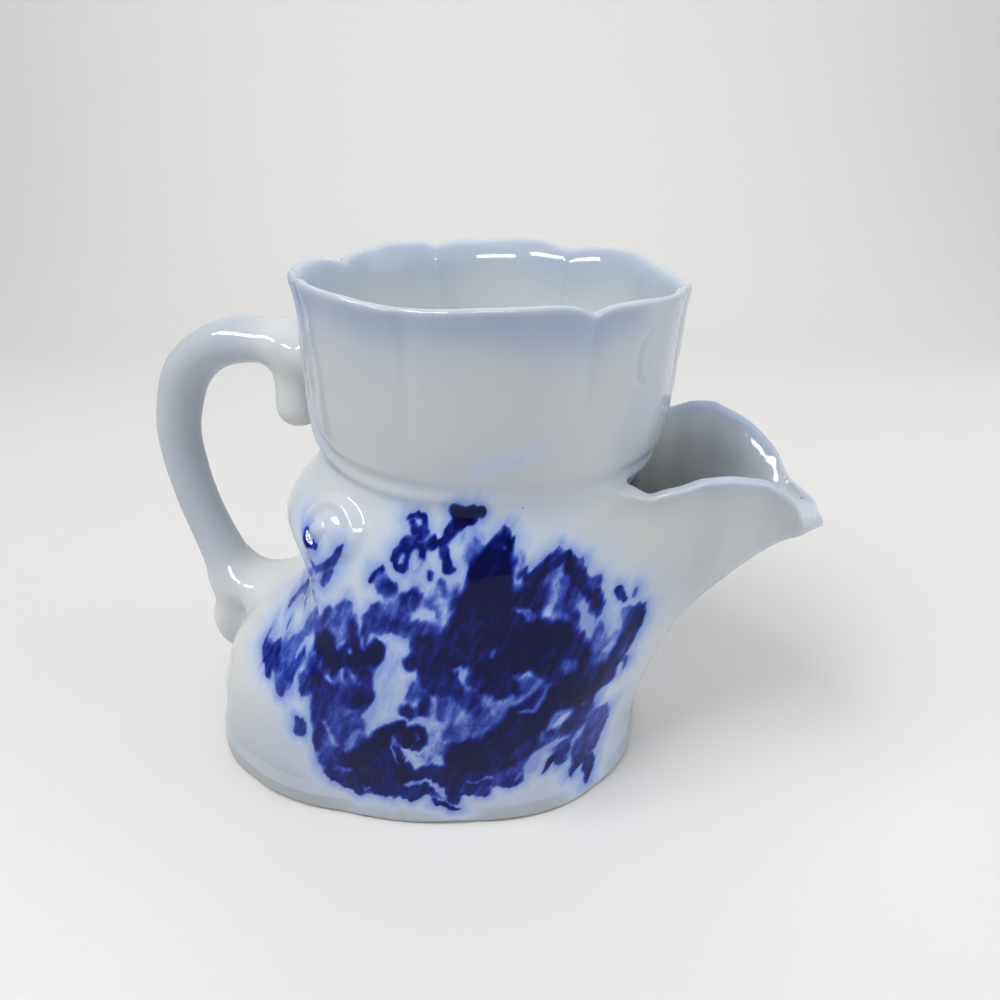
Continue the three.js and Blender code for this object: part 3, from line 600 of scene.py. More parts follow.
# Strokes of a blurred leaf-and-scroll transfer, each laid over the ones before it:
# (depth of colour, softness of the edge, [(x, z, half width), ...]), in the side view, in millimetres.
PRINT = [
    (0.24, 3.3, [(-23.2, 47.9, 4.7), (-32.1, 39.3, 4.48), (-37.2, 35.2, 2.49)]),
    (0.3, 3.3, [(-24.4, 36.3, 6.78), (-26.1, 26.8, 5.3)]),
    (0.24, 3, [(-5.9, 53.0, 4.91), (-8.8, 58.1, 2.63), (-5.1, 62.9, 3.34)]),
    (0.3, 3.3, [(-5.8, 34.6, 4.69), (-6.7, 28.8, 4.77)]),
    (0.2, 2.4, [(-30.7, 52.8, 2.0), (-25.1, 58.9, 1.32), (-36.2, 45.5, 1.42)]),
    (0.28, 3.3, [(19.8, 50.2, 4.61), (23.8, 43.5, 3.56), (22.6, 51.0, 2.32)]),
    (0.34, 3.3, [(7.9, 32.6, 6.69), (17.7, 29.8, 5.24), (0.2, 29.1, 4.75)]),
    (0.26, 3.3, [(23.1, 25.0, 3.76), (23.4, 13.6, 2.62), (17.9, 17.2, 2.11)]),
    (0.22, 2.7, [(31.4, 43.3, 2.46), (28.6, 37.7, 2.47)]),
    (0.28, 2.4, [(-1.6, 56.4, 3.36), (-1.4, 50.1, 3.02)]),
    (0.2, 3, [(3.6, 80.5, 1.04), (8.2, 82.0, 1.38), (12.6, 83.6, 1.03)]),
    (0.54, 1.8, [(-28.7, 44.5, 2.91), (-22.7, 48.1, 3.1), (-24.3, 41.0, 6.03), (-18.9, 41.0, 4.15), (-28.2, 35.1, 4.26), (-21.0, 35.4, 4.2)]),
    (0.5, 1.8, [(-37.1, 36.5, 3.03), (-37.5, 32.0, 2.75)]),
    (0.34, 1.5, [(-9.6, 67.0, 2.28), (-5.8, 63.5, 2.96), (-8.6, 62.3, 2.29)]),
    (0.42, 1.8, [(-12.7, 53.1, 2.8), (-9.0, 52.3, 3.48), (-4.2, 50.3, 3.48), (-3.2, 56.4, 2.52)]),
    (0.36, 1.2, [(-27.5, 57.7, 1.44), (-31.3, 53.0, 1.47), (-36.7, 46.3, 1.28)]),
    (0.68, 0.52, [(-32.6, 63.0, 0.47), (-32.7, 61.8, 0.79), (-31.6, 60.8, 1.0), (-30.2, 60.3, 0.73)]),
    (0.74, 0.52, [(-23.4, 62.6, 0.36), (-24.4, 60.8, 1.02), (-26.2, 58.8, 0.98), (-28.7, 57.0, 0.73), (-30.6, 55.9, 0.42)]),
    (0.58, 0.6, [(-31.6, 57.3, 0.48), (-30.7, 56.0, 0.79)]),
    (0.66, 0.52, [(-26.3, 57.0, 0.67), (-27.4, 55.1, 0.94), (-28.5, 53.5, 0.68)]),
    (0.46, 0.9, [(-31.7, 54.3, 1.06), (-33.5, 52.0, 1.07), (-36.4, 48.2, 0.93)]),
    (0.68, 0.52, [(-33.2, 50.3, 0.7), (-38.5, 44.4, 0.67), (-42.7, 39.3, 0.41)]),
    (0.66, 0.52, [(-34.6, 47.7, 0.71), (-35.2, 45.3, 0.77)]),
    (0.5, 0.52, [(-31.0, 50.6, 0.42), (-30.0, 49.2, 0.32)]),
    (0.3, 0.3, [(-30.6, 54.5, 0.2), (-34.4, 50.0, 0.23)]),
    (0.56, 0.75, [(-30.0, 47.7, 0.48), (-32.9, 43.0, 0.76), (-36.3, 37.8, 1.26), (-38.5, 33.4, 1.38), (-38.1, 29.3, 1.43)]),
    (0.68, 0.6, [(-26.2, 49.6, 0.47), (-29.4, 45.9, 0.69), (-32.9, 42.1, 0.81)]),
    (0.5, 0.52, [(-39.4, 39.6, 0.39), (-39.7, 38.6, 0.51)]),
    (0.7, 0.75, [(-45.2, 35.3, 0.52), (-44.9, 34.1, 1.2), (-42.8, 33.6, 2.03), (-42.0, 31.6, 1.4)]),
    (0.66, 0.75, [(-41.0, 35.3, 1.4), (-39.8, 33.7, 1.28)]),
    (0.64, 0.6, [(-33.0, 38.5, 0.92), (-34.3, 36.1, 0.92), (-36.2, 33.0, 1.26)]),
    (0.28, 0.75, [(-32.7, 40.8, 0.4), (-35.0, 37.3, 0.3)]),
    (0.52, 1.05, [(-22.2, 51.7, 0.87), (-24.4, 48.4, 1.82), (-26.8, 45.6, 1.84)]),
    (0.64, 0.75, [(-22.2, 51.7, 0.46), (-23.3, 49.7, 0.77), (-24.4, 47.6, 0.94)]),
    (0.36, 0.6, [(-25.0, 49.5, 0.34), (-27.4, 45.9, 0.39)]),
    (1, 1.35, [(-27.3, 41.8, 2.64), (-26.0, 40.0, 2.95)]),
    (0.97, 1.2, [(-21.9, 43.6, 1.51), (-20.7, 40.9, 2.34), (-17.4, 42.5, 2.06)]),
    (0.9, 1.05, [(-21.1, 47.3, 1.03), (-20.8, 44.9, 1.19)]),
    (0.95, 1.05, [(-15.8, 44.8, 1.18), (-16.1, 42.2, 1.49)]),
    (0.4, 0.6, [(-23.5, 44.4, 0.39), (-24.1, 42.5, 0.34)]),
    (0.35, 0.75, [(-21.6, 42.2, 0.48)]),
    (0.34, 0.9, [(-18.9, 47.2, 0.48), (-18.7, 43.8, 0.53)]),
    (0.78, 1.05, [(-15.1, 51.5, 2.02), (-16.4, 48.6, 2.04)]),
    (0.7, 0.75, [(-17.9, 49.4, 1.12), (-18.1, 46.1, 0.87)]),
    (0.75, 0.9, [(-13.1, 49.1, 2.03)]),
    (0.75, 0.9, [(-31.8, 34.0, 1.29), (-32.3, 31.9, 1.08)]),
    (0.92, 0.9, [(-28.8, 35.0, 1.49), (-28.2, 32.5, 1.76)]),
    (0.86, 0.9, [(-22.6, 36.5, 1.31), (-22.1, 33.3, 1.74)]),
    (0.88, 0.9, [(-18.1, 37.8, 1.61), (-18.4, 35.1, 1.52)]),
    (0.3, 0.75, [(-26.5, 36.1, 0.59), (-25.9, 35.0, 0.49)]),
    (0.3, 0.75, [(-23.7, 38.0, 0.49), (-23.4, 35.8, 0.59)]),
    (0.34, 0.75, [(-20.7, 37.4, 0.39), (-20.2, 35.3, 0.44)]),
    (0.82, 1.05, [(-25.7, 32.1, 2.66)]),
    (0.42, 0.9, [(-15.0, 57.5, 2.04)]),
    (0.76, 0.9, [(-13.7, 56.2, 1.81)]),
    (0.8, 0.45, [(-15.0, 59.5, 0.4), (-16.3, 58.7, 0.45), (-17.1, 57.4, 0.45)]),
    (0.7, 0.75, [(-8.3, 55.0, 1.3), (-9.5, 53.7, 1.9)]),
    (0.44, 0.45, [(-9.3, 54.4, 0.21), (-9.7, 52.9, 0.21)]),
    (0.52, 1.2, [(-12.6, 51.8, 1.51), (-10.7, 51.6, 1.01)]),
    (0.24, 1.05, [(-8.0, 51.2, 1.39), (-6.1, 51.8, 1.39)]),
    (0.88, 0.45, [(-10.2, 69.2, 0.64), (-8.6, 69.5, 0.54), (-7.4, 69.0, 0.69), (-7.5, 67.6, 0.74), (-8.9, 67.0, 0.69), (-9.7, 68.2, 0.64)]),
    (0.84, 0.45, [(-7.4, 66.9, 0.69), (-8.3, 65.8, 0.79), (-10.3, 64.2, 0.79)]),
    (0.7, 0.45, [(-9.5, 65.7, 0.49), (-11.3, 64.7, 0.64), (-12.2, 62.8, 0.79), (-12.6, 61.0, 0.7), (-11.6, 60.2, 0.8), (-10.7, 61.4, 0.55), (-10.5, 63.0, 0.49)]),
    (0.86, 0.45, [(-10.5, 63.7, 0.59), (-8.6, 63.9, 0.59), (-7.0, 64.5, 0.84), (-5.7, 65.5, 0.98), (-4.2, 65.4, 0.83), (-3.2, 64.1, 0.88), (-2.4, 62.4, 1.13), (-2.1, 60.6, 1.13)]),
    (0.9, 0.45, [(-7.7, 63.5, 0.64), (-7.5, 62.2, 0.39)]),
    (0.14, 0.45, [(-9.5, 61.8, 0.55), (-8.7, 61.0, 0.55)]),
    (0.14, 0.6, [(-5.3, 63.1, 0.77), (-5.0, 62.0, 0.77)]),
    (0.92, 0.6, [(-0.6, 69.1, 1.12), (-2.5, 67.2, 1.22), (-3.1, 65.9, 0.88)]),
    (0.78, 0.52, [(-5.5, 59.9, 0.64), (-5.7, 59.0, 0.54)]),
    (0.64, 0.6, [(-3.7, 57.8, 0.74), (-2.9, 55.9, 0.74)]),
    (0.5, 0.75, [(-5.9, 54.0, 0.7), (-4.5, 52.5, 0.7)]),
    (0.9, 1.35, [(-6.5, 45.1, 3.17), (-1.8, 45.4, 4.16)]),
    (0.87, 1.2, [(-8.9, 41.8, 1.94)]),
    (0.94, 1.35, [(-4.1, 41.5, 4.2), (0.6, 44.3, 4.17)]),
    (0.84, 1.2, [(-5.3, 37.4, 2.18), (-1.7, 36.8, 3.21)]),
    (0.52, 1.05, [(-8.7, 37.1, 1.39), (-8.9, 34.9, 1.4)]),
    (0.58, 1.05, [(-10.4, 47.5, 1.01), (-8.2, 49.0, 1.21), (-5.8, 48.9, 1.36)]),
    (0.66, 0.9, [(-10.4, 49.4, 1.01), (-8.2, 49.4, 0.86)]),
    (0.34, 1.2, [(-1.9, 54.1, 1.52), (-2.8, 50.4, 1.39)]),
    (0.64, 0.75, [(-1.1, 56.1, 0.54), (-0.6, 51.8, 1.0)]),
    (0.26, 0.75, [(-12.6, 46.4, 0.61), (-12.6, 43.7, 1.52), (-13.6, 39.2, 2.48), (-14.1, 35.1, 3.28), (-13.4, 33.6, 3.29)]),
    (0.56, 1.8, [(18.0, 56.6, 3.74), (22.3, 50.5, 3.07), (24.3, 42.8, 3.15), (25.3, 36.4, 3.22)]),
    (0.42, 1.5, [(29.8, 47.1, 2.22), (28.6, 40.3, 2.75)]),
    (1, 0.75, [(-1.4, 70.5, 1.61), (0.7, 70.8, 1.75), (2.7, 71.1, 1.36)]),
    (0.95, 0.6, [(1.2, 69.0, 0.92)]),
    (0.3, 1.05, [(0.3, 66.7, 1.35), (0.3, 63.3, 1.36)]),
    (0.52, 0.9, [(2.6, 66.0, 1.07), (1.9, 62.7, 1.07)]),
    (1, 0.9, [(7.3, 68.0, 0.58), (6.6, 66.1, 1.36), (5.4, 63.5, 2.34), (4.7, 59.6, 3.55), (4.5, 54.1, 4.58)]),
    (1, 0.9, [(8.2, 66.1, 1.07), (7.9, 62.8, 1.61), (7.7, 58.9, 2.11)]),
    (0.5, 0.45, [(7.5, 65.3, 0.34)]),
    (0.33, 1.05, [(10.3, 63.8, 1.04), (10.5, 59.9, 0.91), (9.9, 58.3, 0.41)]),
    (0.86, 0.9, [(11.3, 59.9, 0.83), (13.1, 59.3, 1.62), (14.8, 60.5, 1.62), (16.0, 62.4, 1.23), (16.8, 63.9, 0.69)]),
    (0.72, 0.9, [(16.9, 62.1, 1.33)]),
    (0.97, 0.75, [(18.4, 62.5, 0.99), (19.6, 60.1, 1.64), (20.8, 57.4, 1.51), (22.1, 55.1, 1.37), (23.7, 53.5, 1.28), (24.8, 50.5, 0.88), (25.1, 49.3, 0.47)]),
    (0.72, 0.75, [(23.5, 56.1, 1.37)]),
    (0.62, 0.6, [(20.6, 60.8, 0.85)]),
    (0.38, 0.9, [(16.9, 58.3, 1.29), (15.9, 55.0, 1.52), (14.3, 53.6, 1.38)]),
    (0.62, 0.6, [(18.0, 57.6, 0.65)]),
    (0.33, 0.6, [(17.3, 59.2, 0.37)]),
    (0.75, 0.6, [(19.4, 55.8, 0.7), (19.8, 53.0, 1.41), (20.8, 50.5, 1.02)]),
    (0.3, 0.9, [(22.3, 51.8, 1.23), (22.9, 47.6, 1.34), (22.9, 44.8, 1.2)]),
    (0.54, 0.9, [(25.2, 46.5, 0.99), (25.2, 42.9, 1.42), (25.2, 39.5, 1.7)]),
    (0.16, 0.9, [(27.1, 49.7, 1.07), (27.8, 45.1, 1.08)]),
    (0.3, 0.75, [(27.2, 40.3, 0.65)]),
    (0.76, 0.6, [(28.2, 52.8, 1.04), (29.1, 50.8, 1.1)]),
    (0.5, 0.45, [(31.8, 52.8, 0.42), (31.4, 50.8, 0.58)]),
    (0.8, 0.75, [(32.8, 48.2, 0.8), (32.2, 46.4, 1.5), (31.5, 43.1, 1.79), (30.5, 39.7, 1.69), (28.8, 37.0, 1.8), (27.3, 34.6, 1.53)]),
    (0.56, 0.9, [(30.2, 47.5, 1.01), (30.0, 44.7, 0.91)]),
    (0.62, 0.75, [(30.5, 33.3, 0.5), (30.5, 35.7, 0.78)]),
    (1, 1.35, [(3.9, 51.7, 5.84), (8.3, 52.8, 3.85), (12.4, 55.5, 2.85), (10.9, 50.2, 4.13)]),
    (1, 1.35, [(5.2, 45.4, 5.67), (11.9, 44.9, 5.19), (15.2, 47.0, 3.93), (17.4, 47.6, 2.92)]),
    (0.94, 1.2, [(19.8, 43.8, 2.97), (21.7, 40.3, 2.22)]),
    (0.92, 1.35, [(16.6, 40.0, 2.97), (21.3, 35.5, 3.57), (24.7, 34.6, 2.83)]),
    (0.88, 1.05, [(27.2, 32.4, 1.81)]),
    (0.95, 1.35, [(0.5, 46.6, 3.9), (-0.3, 42.7, 2.92)]),
    (0.36, 0.75, [(0.8, 40.9, 0.94), (1.6, 39.1, 1.09)]),
    (0.85, 1.05, [(5.3, 38.7, 3.32), (9.9, 37.0, 2.32)]),
    (0.5, 0.9, [(13.1, 37.1, 1.96), (15.8, 35.3, 1.46)]),
    (0.62, 0.9, [(20.2, 39.5, 1.72)]),
    (0.9, 0.9, [(19.1, 33.3, 2.38), (22.6, 31.6, 1.88)]),
    (0.55, 0.6, [(6.1, 45.3, 0.6), (5.8, 44.5, 0.56)]),
    (0.5, 0.6, [(10.3, 53.5, 0.55), (12.6, 52.0, 0.9)]),
    (0.62, 0.75, [(13.0, 51.5, 1.15)]),
    (0.36, 0.6, [(-0.3, 41.7, 0.71), (0.6, 40.1, 0.71)]),
    (0.62, 1.8, [(-27.3, 29.5, 3.37), (-26.9, 15.4, 4.14), (-20.5, 10.9, 3.85)]),
    (0.64, 1.8, [(-19.8, 33.0, 3.61), (-22.8, 24.1, 4.02)]),
    (0.85, 1.5, [(-26.4, 12.2, 2.25), (-19.2, 11.2, 3.52), (-13.1, 11.0, 2.87), (-8.8, 12.7, 2.84), (-1.7, 11.2, 3.17), (4.1, 12.9, 3.16), (8.8, 15.6, 3.78), (13.8, 20.6, 3.43)]),
    (0.8, 0.75, [(-28.5, 32.1, 1.96), (-28.5, 26.5, 1.67), (-30.0, 18.6, 0.95)]),
    (0.64, 0.9, [(-27.4, 22.0, 2.0), (-27.0, 17.4, 2.34)]),
    (0.4, 0.75, [(-27.6, 25.7, 0.57), (-26.4, 22.6, 0.69), (-25.4, 20.1, 0.64)]),
    (0.8, 0.75, [(-21.6, 32.6, 2.23), (-18.6, 33.8, 1.92)]),
    (0.52, 0.75, [(-22.4, 29.6, 1.16)]),
    (0.76, 0.75, [(-21.7, 26.6, 1.96), (-22.8, 24.5, 1.36)]),
    (0.42, 0.9, [(-20.3, 25.0, 0.74), (-22.6, 20.8, 1.04)]),
    (0.26, 0.75, [(-13.7, 35.1, 1.98), (-15.2, 31.7, 2.11), (-17.7, 29.0, 1.23)]),
    (0.96, 1.2, [(-21.2, 15.8, 3.64), (-15.9, 20.8, 3.87), (-14.6, 15.3, 4.88), (-19.1, 12.1, 3.03)]),
    (0.96, 1.05, [(-15.6, 24.7, 1.96), (-11.9, 27.7, 1.63)]),
    (0.96, 0.75, [(-9.5, 24.7, 3.35)]),
    (0.8, 0.75, [(-9.8, 31.4, 1.61)]),
    (0.94, 1.2, [(-8.8, 13.6, 2.36), (-5.8, 15.5, 2.35)]),
    (0.52, 1.35, [(-2.3, 32.0, 3.57), (1.8, 32.0, 3.56), (5.8, 30.8, 2.98), (-1.0, 26.7, 2.71)]),
    (0.34, 0.75, [(-5.3, 30.8, 0.88), (-4.9, 26.6, 1.17), (-5.4, 22.8, 1.19), (-7.5, 20.1, 0.8), (-9.5, 20.3, 0.4)]),
    (0.45, 1.05, [(-3.6, 23.6, 1.4), (-6.7, 18.7, 1.12)]),
    (0.48, 0.3, [(-13.4, 24.6, 0.34), (-13.9, 21.9, 0.34), (-13.1, 19.2, 0.28), (-12.3, 17.3, 0.22)]),
    (0.52, 0.38, [(-8.3, 26.3, 0.39), (-8.0, 24.5, 0.46)]),
    (0.8, 0.75, [(-6.6, 34.6, 1.3), (-7.0, 31.3, 0.89)]),
    (0.74, 0.75, [(-3.3, 33.6, 1.01), (-3.7, 30.2, 0.78)]),
    (0.78, 0.9, [(1.8, 35.0, 1.94), (3.1, 32.0, 1.66)]),
    (0.34, 0.75, [(0.4, 31.0, 0.66), (-0.7, 28.9, 0.5)]),
    (0.34, 0.75, [(-5.0, 34.7, 0.38), (-5.0, 32.1, 0.44)]),
    (0.38, 0.75, [(6.1, 34.8, 0.49), (6.6, 31.4, 0.55)]),
    (0.38, 0.75, [(10.0, 35.1, 0.55), (8.4, 31.9, 0.55), (7.1, 29.2, 0.67)]),
    (0.4, 0.75, [(15.7, 34.6, 0.61), (14.7, 32.5, 0.44)]),
    (0.98, 1.2, [(0.1, 20.5, 3.85), (5.7, 21.2, 4.77), (11.1, 25.5, 4.42), (12.4, 29.7, 3.47), (15.8, 31.1, 2.87)]),
    (0.95, 1.2, [(-2.9, 14.7, 2.98), (2.8, 16.1, 3.59), (9.7, 18.4, 3.9)]),
    (0.7, 1.05, [(12.4, 15.8, 2.02), (13.8, 19.7, 2.0)]),
    (0.94, 0.9, [(-1.6, 12.5, 2.37), (-2.4, 8.7, 1.73)]),
    (0.8, 0.75, [(1.1, 10.1, 1.72), (3.7, 9.5, 1.92)]),
    (0.45, 0.6, [(1.2, 12.8, 0.38), (5.5, 13.4, 0.38)]),
    (0.66, 0.9, [(8.8, 13.4, 2.66)]),
    (0.72, 0.75, [(9.3, 11.1, 1.92), (11.0, 11.1, 1.41)]),
    (0.38, 0.45, [(11.0, 13.2, 0.35), (10.5, 11.2, 0.3)]),
    (0.15, 0.6, [(-9.2, 6.0, 0.9), (-7.3, 8.0, 1.01), (-6.7, 6.5, 0.89)]),
    (0.8, 0.6, [(-11.2, 8.3, 1.54), (-9.0, 10.0, 1.21), (-6.9, 11.0, 0.83)]),
    (0.36, 0.45, [(-11.3, 11.4, 0.53), (-7.1, 12.9, 0.58), (-4.6, 11.2, 0.76), (-3.7, 8.7, 0.71), (-4.2, 6.6, 0.42)]),
    (0.86, 0.45, [(-5.9, 8.2, 0.64), (-5.1, 6.6, 0.9), (-3.1, 5.3, 0.71), (-1.0, 4.8, 0.52)]),
    (0.84, 0.6, [(-1.8, 7.4, 1.41)]),
    (0.94, 1.05, [(-16.9, 9.1, 2.06), (-14.5, 8.7, 1.73)]),
    (0.8, 0.6, [(-28.4, 11.3, 1.1), (-26.2, 10.5, 1.42), (-24.8, 9.1, 0.91)]),
    (0.8, 0.6, [(-22.8, 10.0, 1.29), (-22.1, 7.6, 0.84)]),
    (0.42, 0.45, [(-20.7, 8.8, 0.45), (-19.4, 9.1, 0.39)]),
    (0.52, 0.75, [(-26.2, 13.5, 0.96), (-23.4, 13.3, 0.64)]),
    (0.76, 0.75, [(-28.2, 15.1, 1.73)]),
    (0.68, 0.75, [(-33.4, 24.4, 1.51), (-33.7, 21.7, 1.58)]),
    (0.62, 1.65, [(25.5, 22.2, 2.83), (23.8, 14.9, 2.88), (20.8, 20.3, 3.34), (17.2, 21.2, 3.02)]),
    (0.97, 1.2, [(13.2, 27.4, 3.59), (17.0, 32.8, 4.09), (21.6, 31.8, 3.08), (25.1, 31.7, 2.45)]),
    (0.84, 1.05, [(23.4, 28.7, 1.64), (21.9, 24.2, 2.31), (19.8, 23.6, 1.75)]),
    (0.42, 0.75, [(16.3, 36.4, 0.53), (15.7, 33.2, 0.53), (13.6, 30.9, 0.44), (11.8, 31.0, 0.44)]),
    (0.42, 0.75, [(20.4, 28.8, 0.5), (17.8, 27.9, 0.85), (16.9, 25.8, 0.7)]),
    (0.42, 0.75, [(15.1, 24.4, 0.45), (15.1, 22.9, 0.35)]),
    (0.8, 0.75, [(16.7, 23.3, 1.31)]),
    (0.8, 0.9, [(12.8, 20.0, 2.45)]),
    (0.3, 0.75, [(19.8, 20.1, 0.62), (17.2, 19.3, 1.02), (14.9, 17.3, 1.54), (13.2, 13.8, 1.81)]),
    (0.34, 0.6, [(22.7, 20.8, 0.57), (21.8, 18.3, 0.63), (20.9, 14.2, 0.58), (20.6, 12.1, 0.48)]),
    (0.34, 0.75, [(26.4, 28.8, 1.44), (25.6, 26.1, 0.67)]),
    (0.74, 0.75, [(19.9, 16.6, 1.24), (18.5, 15.5, 1.57), (19.3, 13.0, 0.97)]),
    (0.82, 0.45, [(17.1, 15.1, 0.67), (16.4, 13.2, 0.51), (15.9, 12.1, 0.28)]),
    (0.66, 0.75, [(26.8, 23.4, 1.25), (26.0, 20.3, 1.88), (24.7, 16.8, 2.53), (23.6, 13.4, 2.43)]),
    (0.5, 0.75, [(24.5, 24.0, 0.84)]),
    (0.82, 0.45, [(27.7, 19.1, 0.64), (26.2, 15.0, 0.53), (25.3, 12.2, 0.59)]),
    (0.78, 0.6, [(22.7, 11.9, 1.27), (21.8, 9.6, 1.1), (21.4, 7.5, 0.52)]),
    (0.84, 0.52, [(24.4, 10.0, 1.17), (24.7, 6.9, 1.01), (24.4, 5.1, 0.77), (24.8, 2.9, 0.36)]),
]


def wobble(a, b, seed):
    """Smooth noise, -0.5 to 0.5, one cell to a unit."""
    n = np.random.default_rng(seed).random((64, 64))
    i, j = np.floor(a).astype(int), np.floor(b).astype(int)
    a, b = a - i, b - j
    a, b = a * a * (3 - 2 * a), b * b * (3 - 2 * b)
    i, j, p, q = i % 64, j % 64, (i + 1) % 64, (j + 1) % 64
    return (n[i, j] * (1 - a) + n[p, j] * a) * (1 - b) + (n[i, q] * (1 - a) + n[p, q] * a) * b - 0.5


def print_fields(x, z):
    """Signed distance in mm into the deeper strokes, and the depth of colour, feathered along a slant."""
    c, s = np.cos(0.42), np.sin(0.42)
    across, along = x * c - z * s, x * s + z * c
    run = 1.0 * wobble(across / 0.8, along / 4.2, 1) + 0.5 * wobble(across / 0.45, along / 2.4, 2)
    x, z = (x + 0.9 * wobble(x / 2.6, z / 2.6, 3) + run * s, z + 0.9 * wobble(x / 2.6, z / 2.6, 4) + run * c)
    ink = np.full(x.shape, -12.0)
    tone = np.zeros(x.shape)
    for depth, soft, pts in PRINT:
        d = np.full(x.shape, -99.0)
        if len(pts) == 1:
            pts = pts * 2
        for (xa, za, ra), (xb, zb, rb) in zip(pts[:-1], pts[1:]):
            u, w = xb - xa, zb - za
            t = np.clip(((x - xa) * u + (z - za) * w) / max(u * u + w * w, 1e-6), 0, 1)
            d = np.maximum(d, ra + (rb - ra) * t - np.hypot(x - xa - t * u, z - za - t * w))
        a = sstep(d, -soft, soft)
        tone = tone * (1 - a) + depth * a
        if depth >= 0.45:
            ink = np.maximum(ink, d)
    return ink, tone


def refine(pts, nrm, tri, mark):
    """Cut every edge that has both ends marked in two, so that the print reads sharply there."""
    n = len(pts)
    e = np.sort(np.stack([tri[:, [0, 1]], tri[:, [1, 2]], tri[:, [2, 0]]], 1), axis=2)
    key = e[..., 0].astype(np.int64) * n + e[..., 1]
    cut = mark[e[..., 0]] & mark[e[..., 1]]
    keys, inv = np.unique(key[cut], return_inverse=True)
    a, b = keys // n, keys % n
    mid = np.full(cut.shape, -1)
    mid[cut] = n + inv
    pts = np.concatenate([pts, (pts[a] + pts[b]) / 2])
    m = nrm[a] + nrm[b]
    nrm = np.concatenate([nrm, m / np.maximum(np.linalg.norm(m, axis=1), 1e-9)[:, None]])
    k = cut.sum(1)
    out = [tri[k == 0]]
    v, m = tri[k == 3], mid[k == 3]
    out += [np.stack(q, 1) for q in ((v[:, 0], m[:, 0], m[:, 2]), (m[:, 0], v[:, 1], m[:, 1]), (m[:, 2], m[:, 1], v[:, 2]), (m[:, 0], m[:, 1], m[:, 2]))]
    for i in range(3):
        sel = (k == 1) & cut[:, i]
        v, m = tri[sel], mid[sel, i]
        p, q, r = v[:, i], v[:, (i + 1) % 3], v[:, (i + 2) % 3]
        out += [np.stack((p, m, r), 1), np.stack((m, q, r), 1)]
    return pts, nrm, np.concatenate(out)


def printed(pts):
    """Points that lie on the printed part of the outside."""
    x, y, z = pts.T
    return ((x + 4) / 44) ** 2 + ((z - 37) / 39) ** 2 < 1


def surface_attrs(pts, nrm, node):
    x, y, z = pts.T
    g = (pts - np.array([X0, Y0, Z0])) / H
    lo = sample(low, g)
    bo = sample(bowl, g)
    outer = np.maximum(sstep(lo, -1.6, -0.9), sstep(bo, -1.2, -0.6) * (1 - sstep(bo, 1.0, 2.2)) * (z > 60))
    outer = outer * (z < 90)
    ink, tone = print_fields(x, z)
    # no print on the handle, nor just round its foot
    clear = sstep(sample(handle, g), 0.4, 3.2)
    ink, tone = ink - 7 * (1 - clear), tone * clear
    tone = (tone + 0.07 * sstep(tone, 0.3, 0.5)) * outer
    ink = np.where(outer > 0.5, ink, -12.0)
    # blue wash: pooled under the rims, thin on the handle; over the spout part of it is painted shade
    th = np.arctan2(y, x + 1.4)
    rim = rim_curve(np.degrees(th)) - 3.2 * np.clip(x / 37.4, 0, None) ** 1.8
    under = rim - z
    inner = (node == "lather_bowl") * sstep(-bo, 0.9, 1.5)
    up = np.maximum(sstep(lo - bo, -2.0, 2.0) * (z > 56), inner)
    pool = np.exp(-(((np.abs(np.degrees(th)) - 152) / 20) ** 2))
    cup = (1 - inner) * (np.exp(-((under / 7.5) ** 2)) * (0.5 + 0.4 * pool) + 0.19 + 0.1 * pool)
    cup = cup + inner * (0.20 + 0.75 * np.exp(-((under / 7.5) ** 2)))
    cup = cup * (1 - 0.6 * np.exp(-((under / 1.1) ** 2)))  # the glaze runs thin off the very edge
    edge = spoutT(x) - z
    # lower vessel: a blue band along the spout's rim, bluer along the join to the bowl, bluer and darker towards the
    # foot; the rise beyond x = 34 is painted shade over the spout
    vessel = sstep(x, 22, 34) * (0.42 - 0.2 * outer) * (1 - 0.7 * sstep(x, 55, 62)) * np.exp(-((edge / 2.8) ** 2)) + 0.09 + 0.16 * sstep(x, 34, 46)
    vessel = vessel + 0.3 * np.exp(-((np.clip(bo, 0, 9) / 2.2) ** 2)) * (z > 62)
    vessel = vessel + 0.3 * (1 - sstep(z, 6, 30))
    blue_wash_and_shade = cup * up + vessel * (1 - up)
    limb = (node == "handle") * np.minimum(sstep(lo, 0.3, 5), sstep(bo, 0.3, 5))
    blue_wash_and_shade = blue_wash_and_shade * (1 - limb) + limb * (0.06 + 0.3 * sstep(-x, 47, 59) * sstep(z, 26, 44))
    # painted shade in the hollow of the spout and reservoir, deepest near the bowl; darker down towards the foot
    painted_shade_and_grey = np.zeros(x.shape)
    if node in ("brush_spout", "reservoir_body", "foot_ring"):
        painted_shade_and_grey = (1 - outer) * (0.3 + 0.7 * (1 - sstep(x, 28, 60))) * sstep(edge, 3, 20) * sstep(x, 4, 14)
        painted_shade_and_grey = np.maximum(painted_shade_and_grey, 0.55 * outer * (1 - sstep(z, 2, 14)))
    # on the handle: greyer on the outer limb, darker towards the foot
    if node == "handle":
        painted_shade_and_grey = 0.14 * sstep(-x, 50, 64) * sstep(z, 26, 44) + 0.42 * (1 - sstep(z, 2, 14))
    return {"ink": ink, "tone": tone, "blue_wash_and_shade": np.clip(blue_wash_and_shade, 0, 1), "inner": inner, "painted_shade_and_grey": painted_shade_and_grey}


# ------------------------------------------------------------------ materials


